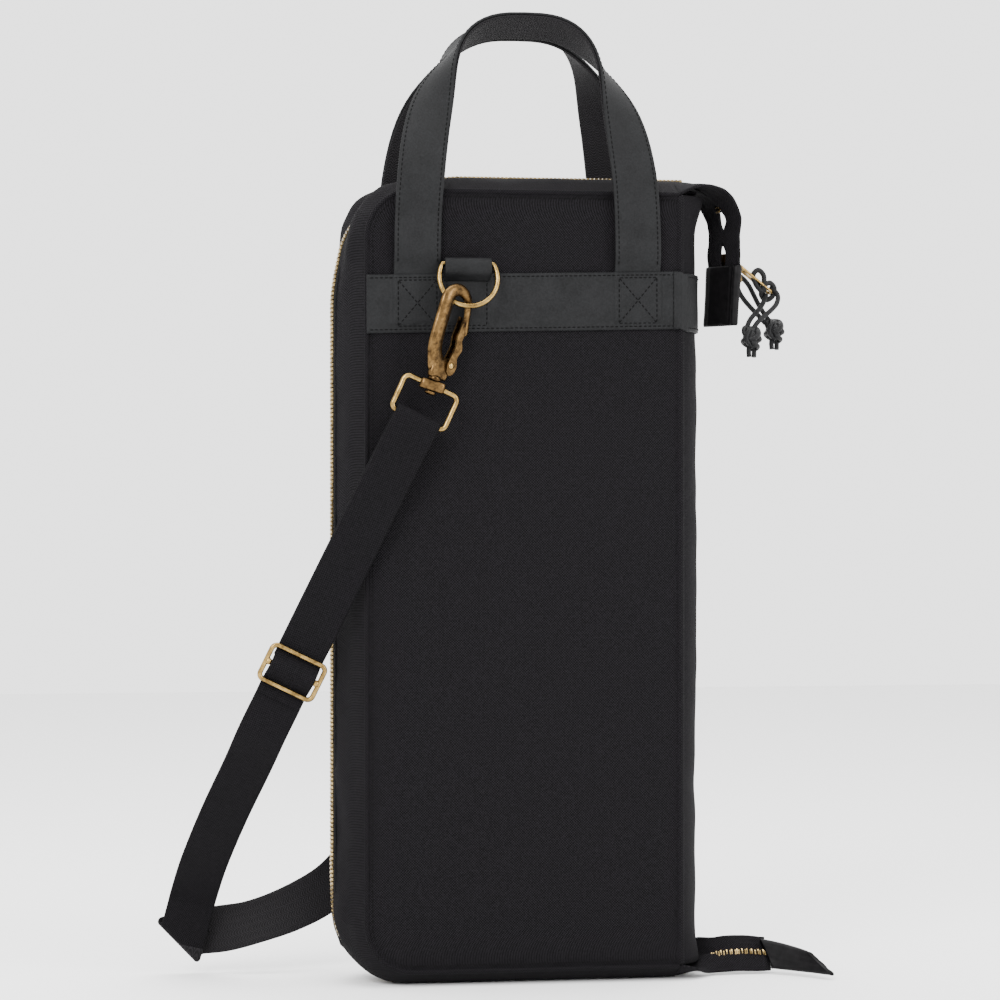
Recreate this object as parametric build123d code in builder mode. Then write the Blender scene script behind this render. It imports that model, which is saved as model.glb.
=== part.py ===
from build123d import *
import math
import os

# Drum stick bag, standing shut on its bottom edge. Millimetres, +Z up.
# The origin is on the floor under the zip, +X runs towards the spine, and the front half faces -Y.
# Depths are counted from the zip's plane, y = 0, outwards into each half.

# Driving dimensions
bag_height = 480
panel_left, panel_right = -96, 93
panel_bottom, panel_top = 8, 470
panel_corner = 28
zip_left = -112
zip_corner = 44
half_depth = 32.5
spine_bulge = 13
cloth = 1.8
board = 4
band_bottom, band_top, band_thick = 388, 423, 1.8
webbing_width, webbing_thick = 28.4, 1.6

# Depths of the layers in a half
panel_inner = half_depth - cloth
board_outer, board_inner = panel_inner - 0.2, panel_inner - 0.2 - board
lining_inner = board_inner - 1.2
pocket_outer, pocket_inner = lining_inner - 0.2, 9
gusset_edge = 5
shoulder_depth = 18
teeth_gap = 0.2

# Outlines of the bag at three depths: left, bottom, top, corner radius
seam = (panel_left, panel_bottom, panel_top, panel_corner)
shoulder = (-106, 0, 477, 36)
edge = (zip_left, 0, bag_height, zip_corner)

# Carrying handles
handle_reach = 66.5
handle_root, handle_top = 434, 571
handle_width, handle_layer = 28, 1.7
handle_lean, lean_start = 20, 42
handle_tilt = math.radians(24)
root_middle, root_height = 427.5, 8.4

# Ring, snap hook and strap loop
ring_radius, ring_wire = 17.4, 1.6
ring_x, ring_bar_z, ring_drop = -37, 426.3, 8.4
ring_bar_depth, ring_swing = 40.5, 13
hook_x, hook_z, hook_depth = -59.3, 354.1, 46.5
hook_turn = math.radians(33)
hook_lean = math.radians(17.3)
loop_lean = math.radians(24.5)
loop_width, loop_height, loop_wire = 34.1, 21.5, 1.65
rear_shift = 74

sides = (("front", -1, 0), ("rear", 1, rear_shift))

os.makedirs("parts", exist_ok=True)


def finish(builder, name):
    """Label a finished piece and write it."""
    builder.part.label = name
    export_step(builder.part, f"parts/{name}.step")


def layer(facing, depth):
    """The upright plane this deep in the half that faces this way."""
    return Plane.XZ.offset(-facing * depth)


def outline(shape, inset=0, beyond=0):
    """A half's outline: square at the spine, round at its two outer corners."""
    left, bottom, top, corner = shape
    middle = ((left + inset + panel_right + beyond) / 2, (bottom + top) / 2)
    with Locations(middle):
        Rectangle(panel_right + beyond - left - inset, top - bottom - 2 * inset)
    fillet(vertices().group_by(Axis.X)[0], corner - inset)


def ribbon(points, wide=None):
    """Planes across a flat strap at each point. Its face looks along Y unless its width's direction is given."""
    planes = []
    for i, point in enumerate(points):
        before = Vector(*points[max(i - 1, 0)])
        after = Vector(*points[min(i + 1, len(points) - 1)])
        along = (after - before).normalized()
        across = Vector(0, -1, 0).cross(along) if wide is None else Vector(*wide[i])
        planes.append(Plane(point, x_dir=across, z_dir=along))
    return planes


# ---- The two halves ----
for side, facing, _ in sides:
    with BuildPart() as panel:
        with BuildSketch(layer(facing, panel_inner)):
            outline(seam)
        extrude(amount=-facing * cloth)
    finish(panel, f"{side}_panel")

    with BuildPart() as gusset:
        with BuildSketch(layer(facing, panel_inner)):
            outline(seam)
        with BuildSketch(layer(facing, shoulder_depth)):
            outline(shoulder)
        with BuildSketch(layer(facing, gusset_edge)):
            outline(edge)
        loft(ruled=True)
        with BuildSketch(layer(facing, panel_inner)):
            outline(seam, cloth, 9)
        with BuildSketch(layer(facing, shoulder_depth)):
            outline(shoulder, cloth, 9)
        with BuildSketch(layer(facing, gusset_edge)):
            outline(edge, cloth, 9)
        loft(ruled=True, mode=Mode.SUBTRACT)
    finish(gusset, f"{side}_gusset")

    with BuildPart() as stiffener:
        with BuildSketch(layer(facing, board_inner)):
            outline(seam, 4, -2)
        extrude(amount=-facing * board)
    finish(stiffener, f"{side}_board")

    with BuildPart() as lining:
        with BuildSketch(layer(facing, lining_inner)):
            outline(seam, 3, -2)
        extrude(amount=-facing * 1)
    finish(lining, f"{side}_lining")

    pocket_top = 300 if side == "rear" else 240
    pocket_left, pocket_right, pocket_bottom, pocket_wall = -84, 88, 14, 1.2
    pocket_width = (pocket_right - pocket_left - 4 * pocket_wall) / 3
    with BuildPart() as pocket:
        with BuildSketch(layer(facing, pocket_inner)):
            with Locations(((pocket_left + pocket_right) / 2, (pocket_bottom + pocket_top) / 2)):
                Rectangle(pocket_right - pocket_left, pocket_top - pocket_bottom)
        extrude(amount=-facing * (pocket_outer - pocket_inner))
        with BuildSketch(layer(facing, pocket_inner + pocket_wall)):
            for n in range(3):
                middle = pocket_left + pocket_wall + pocket_width / 2 + n * (pocket_width + pocket_wall)
                with Locations((middle, (pocket_bottom + pocket_top) / 2 + 5)):
                    Rectangle(pocket_width, pocket_top - pocket_bottom - 2 * pocket_wall + 10)
        extrude(amount=-facing * (pocket_outer - pocket_inner - 2 * pocket_wall), mode=Mode.SUBTRACT)
    finish(pocket, f"{side}_stick_pocket")

    with BuildPart() as tape:
        with BuildSketch(layer(facing, 1.6)):
            outline(edge, 3.4)
            with Locations(((zip_left + 4.4 + panel_right + 9) / 2, bag_height / 2)):
                Rectangle(panel_right + 9 - zip_left - 4.4, bag_height - 8.8, mode=Mode.SUBTRACT)
        extrude(amount=-facing * 6.2)
    finish(tape, f"{side}_zip_tape")

    with BuildPart() as teeth:
        with BuildSketch(layer(facing, teeth_gap)):
            outline(edge)
        extrude(amount=-facing * 4.4)
        with BuildSketch(layer(facing, teeth_gap)):
            outline(edge, 3.2, 9)
        extrude(amount=-facing * 4.4, mode=Mode.SUBTRACT)
    finish(teeth, f"{side}_zip_teeth")

    with BuildPart() as band:
        with BuildSketch(layer(facing, half_depth)):
            with Locations(((panel_left + panel_right) / 2, (band_bottom + band_top) / 2)):
                Rectangle(panel_right - panel_left - 5.4, band_top - band_bottom)
        extrude(amount=-facing * band_thick)
    finish(band, f"{side}_band")


# ---- The spine ----
spine_reach, spine_start = half_depth - 0.5, panel_right + 0.6
spine_sag = panel_right + spine_bulge - spine_start
spine_radius = (spine_reach**2 + spine_sag**2) / (2 * spine_sag)
spine_axis = panel_right + spine_bulge - spine_radius


def spine_section(outer, thick, start, reach):
    """A round strip's section, clipped at the creases."""
    with Locations((spine_axis, 0)):
        Circle(outer)
        Circle(outer - thick, mode=Mode.SUBTRACT)
    with Locations((start, 0)):
        Rectangle(40, 2 * reach, align=(Align.MIN, Align.CENTER), mode=Mode.INTERSECT)


with BuildPart() as spine_panel:
    with BuildSketch(Plane.XY.offset(panel_bottom)):
        spine_section(spine_radius, cloth, spine_start, spine_reach)
    extrude(amount=panel_top - panel_bottom)
    with BuildSketch(Plane.XY.offset(panel_bottom), Plane.XY.offset(panel_top - cloth)):
        spine_section(spine_radius - 1, spine_radius - 1.5, spine_start, spine_reach - 1)
    extrude(amount=cloth)
finish(spine_panel, "spine_panel")

with BuildPart() as spine_lining:
    with BuildSketch(Plane.XY.offset(panel_bottom + 3)):
        spine_section(spine_radius - cloth - 0.3, 1, spine_start + 0.8, spine_reach - 3)
    extrude(amount=panel_top - panel_bottom - 6)
finish(spine_lining, "spine_lining")

with BuildPart() as spine_band:
    with BuildSketch(Plane.XY.offset(band_bottom)):
        spine_section(spine_radius + 0.1 + band_thick, band_thick, spine_start, spine_reach - 1.8)
    extrude(amount=band_top - band_bottom)
finish(spine_band, "spine_band")


# ---- Carrying handles ----
def handle_point(turn):
    """A point on the handle's arch, in its own upright plane: across, and height above the root."""
    across = handle_reach * math.copysign(abs(math.cos(turn)) ** (2 / 3), math.cos(turn))
    return across, (handle_top - handle_root) * math.sin(turn) ** 0.95


def handle_planes(facing, lift):
    """Planes across the handle strap, which lies flat at its roots and turns edge-on over the arch."""
    steps = 16
    planes = []
    for n in range(steps + 1):
        turn = math.pi * n / steps
        spots = []
        for t in (max(turn - 0.02, 0), min(turn + 0.02, math.pi), turn):
            across, up = handle_point(t)
            lean = handle_lean * (max(0, up - lean_start) / (handle_top - handle_root - lean_start)) ** 1.2
            spots.append(Vector(across, facing * (36.2 - lean), handle_root + up))
        along = (spots[1] - spots[0]).normalized()
        twist = math.sin(turn) ** 2
        outward = Vector(0, facing, 0) * (1 - twist)
        outward += Vector(math.cos(turn), -facing * math.sin(handle_tilt), math.sin(turn)) * twist
        wide = outward.cross(along).normalized()
        face = along.cross(wide).normalized()
        planes.append(Plane(spots[2] + face * lift, x_dir=wide, z_dir=along))
    return planes


for side, facing, _ in sides:
    for material, lift in (("leather", 0.95), ("webbing", -0.95)):
        with BuildPart() as handle:
            for place in handle_planes(facing, lift):
                with BuildSketch(place):
                    Rectangle(handle_width, handle_layer)
            loft(ruled=True)
        finish(handle, f"{side}_handle_{material}")

    with BuildPart() as roots:
        with BuildSketch(layer(facing, 34.4)):
            with Locations((-handle_reach, root_middle), (handle_reach, root_middle)):
                Rectangle(handle_width, root_height)
        extrude(amount=-facing * 3.4)
    finish(roots, f"{side}_handle_roots")


# ---- Ring, snap hook and strap loop on each side ----
for side, facing, shift in sides:
    with BuildPart() as tab:
        tab_depth, tab_wall, tab_bore = ring_bar_depth, 1.6, ring_wire + 0.5
        with BuildSketch(Plane.YZ.offset(ring_x + shift - 14)):
            with Locations((facing * tab_depth, ring_bar_z)):
                Circle(tab_bore + tab_wall)
            with Locations((facing * (half_depth + 4.9), ring_bar_z - 3.3)):
                Rectangle(6, 6)
            with Locations((facing * tab_depth, ring_bar_z)):
                Circle(tab_bore, mode=Mode.SUBTRACT)
        extrude(amount=28)
    finish(tab, f"{side}_ring_tab")

    swing = math.radians(ring_swing)
    ring_plane = Plane(
        (ring_x + shift, facing * ring_bar_depth, ring_bar_z),
        x_dir=(1, 0, 0),
        z_dir=(0, -math.cos(swing), -facing * math.sin(swing)),
    )
    half_bar = math.sqrt(ring_radius**2 - ring_drop**2)
    with BuildPart() as ring:
        with BuildLine(ring_plane):
            bow = ThreePointArc((-half_bar, 0), (0, -ring_drop - ring_radius), (half_bar, 0))
        with BuildSketch(Plane(bow @ 0, z_dir=bow % 0)):
            Circle(ring_wire)
        sweep(path=bow)
        with BuildSketch(Plane(bow @ 0, z_dir=(1, 0, 0))):
            Circle(ring_wire)
        extrude(amount=2 * half_bar)
        with Locations(bow @ 0, bow @ 1):
            Sphere(ring_wire)
    finish(ring, f"{side}_d_ring")

    spin = Vector(0, -facing * math.sin(hook_turn), 0)
    spin += Vector(math.cos(hook_lean), 0, -math.sin(hook_lean)) * math.cos(hook_turn)
    up = Vector(math.sin(hook_lean), 0, math.cos(hook_lean))
    hook_origin = Vector(hook_x + shift, facing * hook_depth, hook_z)
    hook_plane = Plane(hook_origin, x_dir=spin, z_dir=spin.cross(up))
    with BuildPart() as hook:
        with BuildSketch(hook_plane):
            with Locations((-1, 50.2)):
                Circle(12.2)
                Rectangle(30, 30, align=(Align.CENTER, Align.MAX), mode=Mode.SUBTRACT)
            with BuildLine():
                Polyline((-13.2, 50.3), (-12.4, 20.6), (-6, 6), (9, 6), (9, 18), (4, 18), (-3, 22.5), (-3.5, 50.3), (-13.2, 50.3))
            make_face()
            with BuildLine():
                Polyline((7, 50.3), (11.2, 50.3), (14.6, 37.5), (13.7, 33.8), (10.9, 34.8), (7, 50.3))
            make_face()
            with Locations((1.5, 49.7)):
                Circle(5.1, mode=Mode.SUBTRACT)
            with Locations((7.2, 14.5)):
                Circle(1.25, mode=Mode.SUBTRACT)
        extrude(amount=1.3, both=True)
    finish(hook, f"{side}_snap_hook")

    with BuildPart() as gate:
        for z_low, z_high in ((-2.9, -1.5), (1.5, 2.9)):
            with BuildSketch(hook_plane.offset(z_low)):
                with BuildLine():
                    Polyline((4.6, 9), (10, 9), (10.6, 20), (9, 44.6), (6, 44.6), (5.8, 20), (4.6, 9))
                make_face()
                with Locations((7.2, 14.5)):
                    Circle(1.25, mode=Mode.SUBTRACT)
            extrude(amount=z_high - z_low)
        with BuildSketch(hook_plane.offset(-1.6)):
            with Locations((7.3, 37)):
                Rectangle(2.4, 13)
        extrude(amount=3.2)
    finish(gate, f"{side}_snap_gate")

    with BuildPart() as rivet:
        with BuildSketch(hook_plane.offset(-3.4)):
            with Locations((7.2, 14.5)):
                Circle(1.22)
        extrude(amount=6.8)
    finish(rivet, f"{side}_gate_rivet")

    stem_plane = Plane(hook_origin, x_dir=spin, z_dir=up)
    with BuildPart() as stem:
        with BuildSketch(stem_plane.offset(-5.4)):
            Circle(3.4)
        extrude(amount=1.8)
        with BuildSketch(stem_plane.offset(-3.6)):
            Circle(2)
        extrude(amount=9.4)
        with BuildSketch(stem_plane.offset(3.2)):
            Circle(4)
        extrude(amount=2.6)
    finish(stem, f"{side}_swivel_stem")

    loop_up = Vector(math.sin(loop_lean), 0, math.cos(loop_lean))
    loop_across = Vector(math.cos(loop_lean), 0, -math.sin(loop_lean))
    loop_plane = Plane(hook_origin, x_dir=loop_across, z_dir=loop_across.cross(loop_up))
    with BuildPart() as loop:
        for way in (-1, 1):
            with BuildLine(loop_plane):
                half_loop = FilletPolyline(
                    (0, -loop_height),
                    (way * loop_width / 2, -loop_height),
                    (way * loop_width / 2, 0),
                    (0, 0),
                    radius=3,
                )
            with BuildSketch(Plane(half_loop @ 0, z_dir=half_loop % 0)):
                Circle(loop_wire)
            sweep(path=half_loop)
        with BuildSketch(Plane(hook_origin, x_dir=(math.cos(hook_lean), 0, -math.sin(hook_lean)), z_dir=up).offset(-3)):
            RectangleRounded(15, 6, 1.5)
        extrude(amount=6)
        with BuildSketch(Plane(hook_origin, x_dir=spin, z_dir=up).offset(-8)):
            Circle(2.3)
        extrude(amount=16, mode=Mode.SUBTRACT)
    finish(loop, f"{side}_strap_loop")


# ---- Shoulder strap: doubled from the front loop to the tri-glide, single below it ----
front_bar = Vector(hook_x, -hook_depth, hook_z) - loop_up * loop_height
glide_point = Vector(-140.5, -34, 186)
run = glide_point - front_bar
run_length = run.length
run_way = run.normalized()
run_across = Vector(0, -1, 0).cross(run_way).normalized()
run_face = run_across.cross(run_way)


def on_run(down, back):
    """A point this far down the strap's straight run and this far behind its middle."""
    return front_bar + run_way * down + run_face * back


fold = 3.1
double_path = [(run_length - 5, 3.8), (run_length - 14, 4.2), (24, 4.2), (8, 3.4)]
double_path += [(-fold * math.sin(math.radians(t)), fold * math.cos(math.radians(t))) for t in range(0, 181, 30)]
double_path += [(8, -2.6), (24, -1), (run_length - 26, 0.2), (run_length - 10.9, 1.8)]
double_path += [(run_length - 5, -1.4), (run_length, -3.7), (run_length + 5, -1.4)]
double_path += [(run_length + 10.9, 1.8), (run_length + 20, 0.6)]
with BuildPart() as strap_double:
    spots = [on_run(down, back) for down, back in double_path]
    for place in ribbon(spots, [run_across] * len(spots)):
        with BuildSketch(place):
            Rectangle(webbing_width, webbing_thick)
    loft(ruled=True)
finish(strap_double, "strap_double")

lower_path = [on_run(run_length + 22.4, 0.6), (-157, -25, 146), (-171, -8, 114), (-184, 14, 82)]
lower_path += [(-193, 31, 54), (-198, 41, 32), (-200, 44, 16)]
with BuildPart() as strap_lower:
    for place in ribbon(lower_path):
        with BuildSketch(place):
            Rectangle(webbing_width, webbing_thick)
    loft(ruled=True)
finish(strap_lower, "strap_lower")

# The strap turns over on the floor and climbs behind the bag to the rear loop.
rear_path = [(-206, 46.6, 24), (-182, 47.2, 24.6), (-159, 48, 26), (-131, 49, 36.5), (-107, 50, 51)]
rear_path += [(-88, 50, 72), (-70, 50, 103), (-51, 49.8, 150), (-36, 49.4, 203), (-24, 48.8, 255), (-12.2, 48.2, 296.5)]
with BuildPart() as strap_rear:
    for place in ribbon(rear_path):
        with BuildSketch(place):
            Rectangle(webbing_width, webbing_thick)
    loft(ruled=True)
finish(strap_rear, "strap_rear")

rear_bar = Vector(hook_x + rear_shift, hook_depth, hook_z) - loop_up * loop_height
rear_way = (Vector(*rear_path[-1]) - rear_bar).normalized()
rear_across = Vector(0, -1, 0).cross(rear_way).normalized()
rear_face = rear_across.cross(rear_way)
end_path = [(37, 4.2), (24, 4.2), (8, 3.4)]
end_path += [(-fold * math.sin(math.radians(t)), fold * math.cos(math.radians(t))) for t in range(0, 181, 30)]
end_path += [(8, -2.6), (24, -1), (39, 0)]
with BuildPart() as strap_end:
    spots = [rear_bar + rear_way * down + rear_face * back for down, back in end_path]
    for place in ribbon(spots, [rear_across] * len(spots)):
        with BuildSketch(place):
            Rectangle(webbing_width, webbing_thick)
    loft(ruled=True)
finish(strap_end, "strap_rear_end")

glide_width, glide_height, glide_wire = 34.2, 21.8, 1.5
glide_plane = Plane(on_run(run_length, -1), x_dir=run_across, z_dir=run_face)
with BuildPart() as glide:
    for way in (-1, 1):
        with BuildLine(glide_plane):
            half_frame = FilletPolyline(
                (0, -glide_height / 2),
                (way * glide_width / 2, -glide_height / 2),
                (way * glide_width / 2, glide_height / 2),
                (0, glide_height / 2),
                radius=4.5,
            )
        with BuildSketch(Plane(half_frame @ 0, z_dir=half_frame % 0)):
            Circle(glide_wire)
        sweep(path=half_frame)
    with BuildSketch(Plane(glide_plane.origin, z_dir=run_across).offset(-glide_width / 2)):
        Circle(1.35)
    extrude(amount=glide_width)
finish(glide, "tri_glide")


# ---- Zip tails ----
tail_normal = Vector(math.sqrt(0.75), 0.5, 0)
tail_across = Vector(0.5, -math.sqrt(0.75), 0)
tail_x = 127

for name, low, high in (("top", 471, 473), ("bottom", 2, 4)):
    with BuildPart() as root:
        with BuildSketch(Plane.XY.offset(low)):
            with Locations((101, 0)):
                Rectangle(13.4, 22)
        extrude(amount=high - low)
        fillet(root.edges().filter_by(Axis.Z), 2)
    finish(root, f"{name}_tail_root")

tail_path = [(110.5, 0, 474), (117, 0, 473.2), (122.5, 0, 469.5), (126, 0, 463), (tail_x, 0, 455), (tail_x, 0, 429.3)]
tail_twist = (0, 5, 14, 24, 30, 30)
tail_wide = [Vector(math.sin(math.radians(t)), -math.cos(math.radians(t)), 0) for t in tail_twist]
with BuildPart() as top_tapes:
    for width, shift, thick in ((11, -8, 1.1), (11, 8, 1.1), (4.4, 0, 2.2)):
        for place in ribbon(tail_path, tail_wide):
            with BuildSketch(place):
                with Locations((shift, 0)):
                    Rectangle(width, thick)
        loft(ruled=True)
finish(top_tapes, "top_tail_tapes")

with BuildPart() as top_cap:
    with BuildSketch(Plane((tail_x, 0, 429), x_dir=tail_across, z_dir=(0, 0, -1))):
        RectangleRounded(31, 5, 1.5)
    extrude(amount=36)
finish(top_cap, "top_tail_cap")

floor_lean = math.radians(38)
floor_up = Vector(0, math.sin(floor_lean), math.cos(floor_lean))
floor_plane = Plane((0, -12, 0.9), x_dir=(1, 0, 0), z_dir=Vector(1, 0, 0).cross(floor_up))
with BuildPart() as bottom_tapes:
    with BuildSketch(floor_plane.offset(-0.6)):
        with BuildLine():
            Polyline((113, 0), (151, 0), (151, 10.4), (122, 10.4), (113, 3), (113, 0))
        make_face()
        with BuildLine():
            Polyline((130, 17.4), (151, 15.4), (151, 26), (142, 26), (130, 17.4))
        make_face()
    extrude(amount=1.2)
    with BuildSketch(floor_plane.offset(-1.1)):
        with BuildLine():
            Polyline((122, 10.8), (151, 10.8), (151, 15), (128, 15), (122, 10.8))
        make_face()
    extrude(amount=2.2)
finish(bottom_tapes, "bottom_tail_tapes")

with BuildPart() as bottom_cap:
    with BuildSketch(Plane((151.4, -4.2, 11.8), x_dir=floor_up, z_dir=(1, 0, 0))):
        RectangleRounded(25, 4.6, 1.5)
    with BuildSketch(Plane((187, -19, 3.4), x_dir=(0, 1, 0), z_dir=(1, 0, 0))):
        RectangleRounded(25, 4.6, 1.5)
    loft()
finish(bottom_cap, "bottom_tail_cap")


# ---- Zip sliders, pulls, laces and knots on the top tail ----
def on_tail(out, across, up):
    """A point by the top tail: out from its outer face, across it, and its height."""
    return Vector(tail_x, 0, up) + tail_normal * out + tail_across * across


pivot_out = 8.2
pull_length, pull_width, pull_thick = 33, 7, 1.5
sliders = (
    ("lower", 433.4, Vector(0.8, 0.2, -0.57)),
    ("upper", 446, Vector(0.45, -0.25, -0.86)),
)
holes = {}
for name, height, way in sliders:
    seat = Plane(on_tail(0, 0, height), x_dir=tail_across, z_dir=tail_normal)
    with BuildPart() as slider:
        with BuildSketch(seat.offset(1.5)):
            RectangleRounded(9, 8, 2.5)
        extrude(amount=3.4)
        with BuildSketch(seat.offset(4.7)):
            Rectangle(2.6, 4.4)
        extrude(amount=4.9)
        with BuildSketch(Plane(on_tail(pivot_out, 0, height), x_dir=tail_normal, z_dir=tail_across).offset(-3)):
            Circle(0.85)
        extrude(amount=6, mode=Mode.SUBTRACT)
    finish(slider, f"{name}_slider")

    heading = (tail_normal * way.X + tail_across * way.Y + Vector(0, 0, way.Z)).normalized()
    flat = heading.cross(tail_across).normalized()
    length = pull_length if name == "lower" else 28
    face = Plane(on_tail(pivot_out, 0, height), x_dir=flat.cross(heading), z_dir=flat)
    with BuildPart() as pull:
        with BuildSketch(face.offset(-pull_thick / 2)):
            with Locations((0, -length / 2)):
                RectangleRounded(pull_width, length + 2, 1.4)
            with Locations((0, -0.6)):
                Rectangle(4.6, 8, mode=Mode.SUBTRACT)
            with Locations((0, 2 - length)):
                SlotOverall(4.6, 2.6, mode=Mode.SUBTRACT)
        extrude(amount=pull_thick)
        with BuildSketch(Plane(face.origin, x_dir=tail_normal, z_dir=tail_across).offset(-2.8)):
            Circle(0.78)
        extrude(amount=5.6)
    finish(pull, f"{name}_pull")
    holes[name] = face.from_local_coords(Vector(0, 2 - length, 0))

# Each pull's lace is two strands that hang from its hole to a knot with two short ends.
lace = 3.0
lace_routes = {
    "lower_lace_outer": [
        (160.0, 12.0, 418.1),
        (165.0, 10.4, 414.8),
        (164.0, 7.0, 408.2),
        (158.0, 3.0, 402.6),
        (150.6, -1.0, 397.6),
        (145.4, -4.0, 391.8),
        (144.2, -5.0, 387.4),
    ],
    "lower_lace_inner": [
        (157.3, 10.2, 413.4),
        (155.4, 7.6, 408.6),
        (150.6, 4.0, 403.0),
        (145.0, 0.4, 398.2),
        (141.6, -3.0, 392.4),
        (140.6, -4.8, 387.4),
    ],
    "upper_lace_outer": [
        (142.8, 16.6, 424.8),
        (147.4, 18.4, 421.6),
        (151.4, 19.6, 414.6),
        (155.2, 20.2, 407.4),
        (159.2, 20.4, 401.4),
        (163.0, 20.6, 396.4),
    ],
    "upper_lace_inner": [
        (139.1, 14.5, 422.6),
        (140.6, 15.4, 416.6),
        (144.8, 17.0, 410.6),
        (150.0, 18.4, 405.4),
        (155.2, 19.4, 400.6),
        (159.4, 20.0, 396.2),
    ],
}


def bend_radii(points):
    """The largest arc that its two runs allow at each corner of a route."""
    radii = []
    for before, corner, after in zip(points, points[1:], points[2:]):
        into = Vector(*corner) - Vector(*before)
        out = Vector(*after) - Vector(*corner)
        half_turn = math.radians(into.get_angle(out)) / 2
        radii.append(0.45 * min(into.length, out.length) / math.tan(half_turn))
    return radii


for name, points in lace_routes.items():
    radii = bend_radii(points)
    with BuildPart() as strand:
        with BuildLine():
            route = FilletPolyline(*points, radius=radii)
        with BuildSketch(Plane(route @ 0, z_dir=route % 0)):
            Circle(lace / 2)
        sweep()
    finish(strand, name)
    expected = math.pi * (lace / 2) ** 2 * route.length
    print(name, "length", round(route.length, 1), "radii", [round(r, 1) for r in radii])
    print(name, "volume over section times length", round(strand.part.volume / expected, 3))

knot_radius, knot_height, knot_round, knot_end = 5.5, 10, 1.2, 5.5
for name, centre in (("lower", (142.4, -5.4, 381.6)), ("upper", (161.6, 20.4, 389.6))):
    with BuildPart() as knot:
        with Locations(centre):
            Cylinder(knot_radius, knot_height)
        fillet(knot.edges().filter_by(GeomType.CIRCLE), knot_round)
        with BuildSketch(knot.faces().sort_by(Axis.Z)[0]):
            with Locations((-knot_radius / 2, 0), (knot_radius / 2, 0)):
                Circle(lace / 2)
        extrude(amount=knot_end)
    finish(knot, f"{name}_lace_knot")
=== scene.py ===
import math

import bmesh
import bpy
from mathutils import Matrix, Vector, noise


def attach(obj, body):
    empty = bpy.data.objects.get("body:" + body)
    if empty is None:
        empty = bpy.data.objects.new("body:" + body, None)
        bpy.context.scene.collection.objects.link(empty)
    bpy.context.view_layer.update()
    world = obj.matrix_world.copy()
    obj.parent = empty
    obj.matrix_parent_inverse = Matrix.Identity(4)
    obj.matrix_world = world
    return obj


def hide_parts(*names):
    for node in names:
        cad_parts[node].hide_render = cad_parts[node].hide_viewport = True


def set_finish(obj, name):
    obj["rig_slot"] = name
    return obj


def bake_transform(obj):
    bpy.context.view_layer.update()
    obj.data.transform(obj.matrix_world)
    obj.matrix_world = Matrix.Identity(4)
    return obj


# The stick bag's looks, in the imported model's frame: +X towards the spine, the front half faces -Y.
# Sizes are in millimetres, and pieces are built in metres.
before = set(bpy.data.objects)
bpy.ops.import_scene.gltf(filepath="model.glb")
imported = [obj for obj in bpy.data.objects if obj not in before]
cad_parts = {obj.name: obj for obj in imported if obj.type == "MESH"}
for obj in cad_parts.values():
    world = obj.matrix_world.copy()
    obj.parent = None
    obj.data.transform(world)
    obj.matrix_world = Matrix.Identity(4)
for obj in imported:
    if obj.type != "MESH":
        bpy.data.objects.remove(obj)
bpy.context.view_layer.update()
MM = 0.001

# ---- Camera: level, a little to the left of straight on ----
VIEW = Vector((0.1736, 0.9848, 0))
AIM = Vector((-0.0104, 0.0018, 0.287))
DISTANCE = 2.0
camera = bpy.data.objects.new("camera", bpy.data.cameras.new("camera"))
bpy.context.scene.collection.objects.link(camera)
camera.location = AIM - VIEW * DISTANCE
camera.rotation_euler = VIEW.to_track_quat("-Z", "Y").to_euler()
camera.data.lens = 119.2
camera.data.dof.use_dof = False
bpy.context.scene.camera = camera


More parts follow.
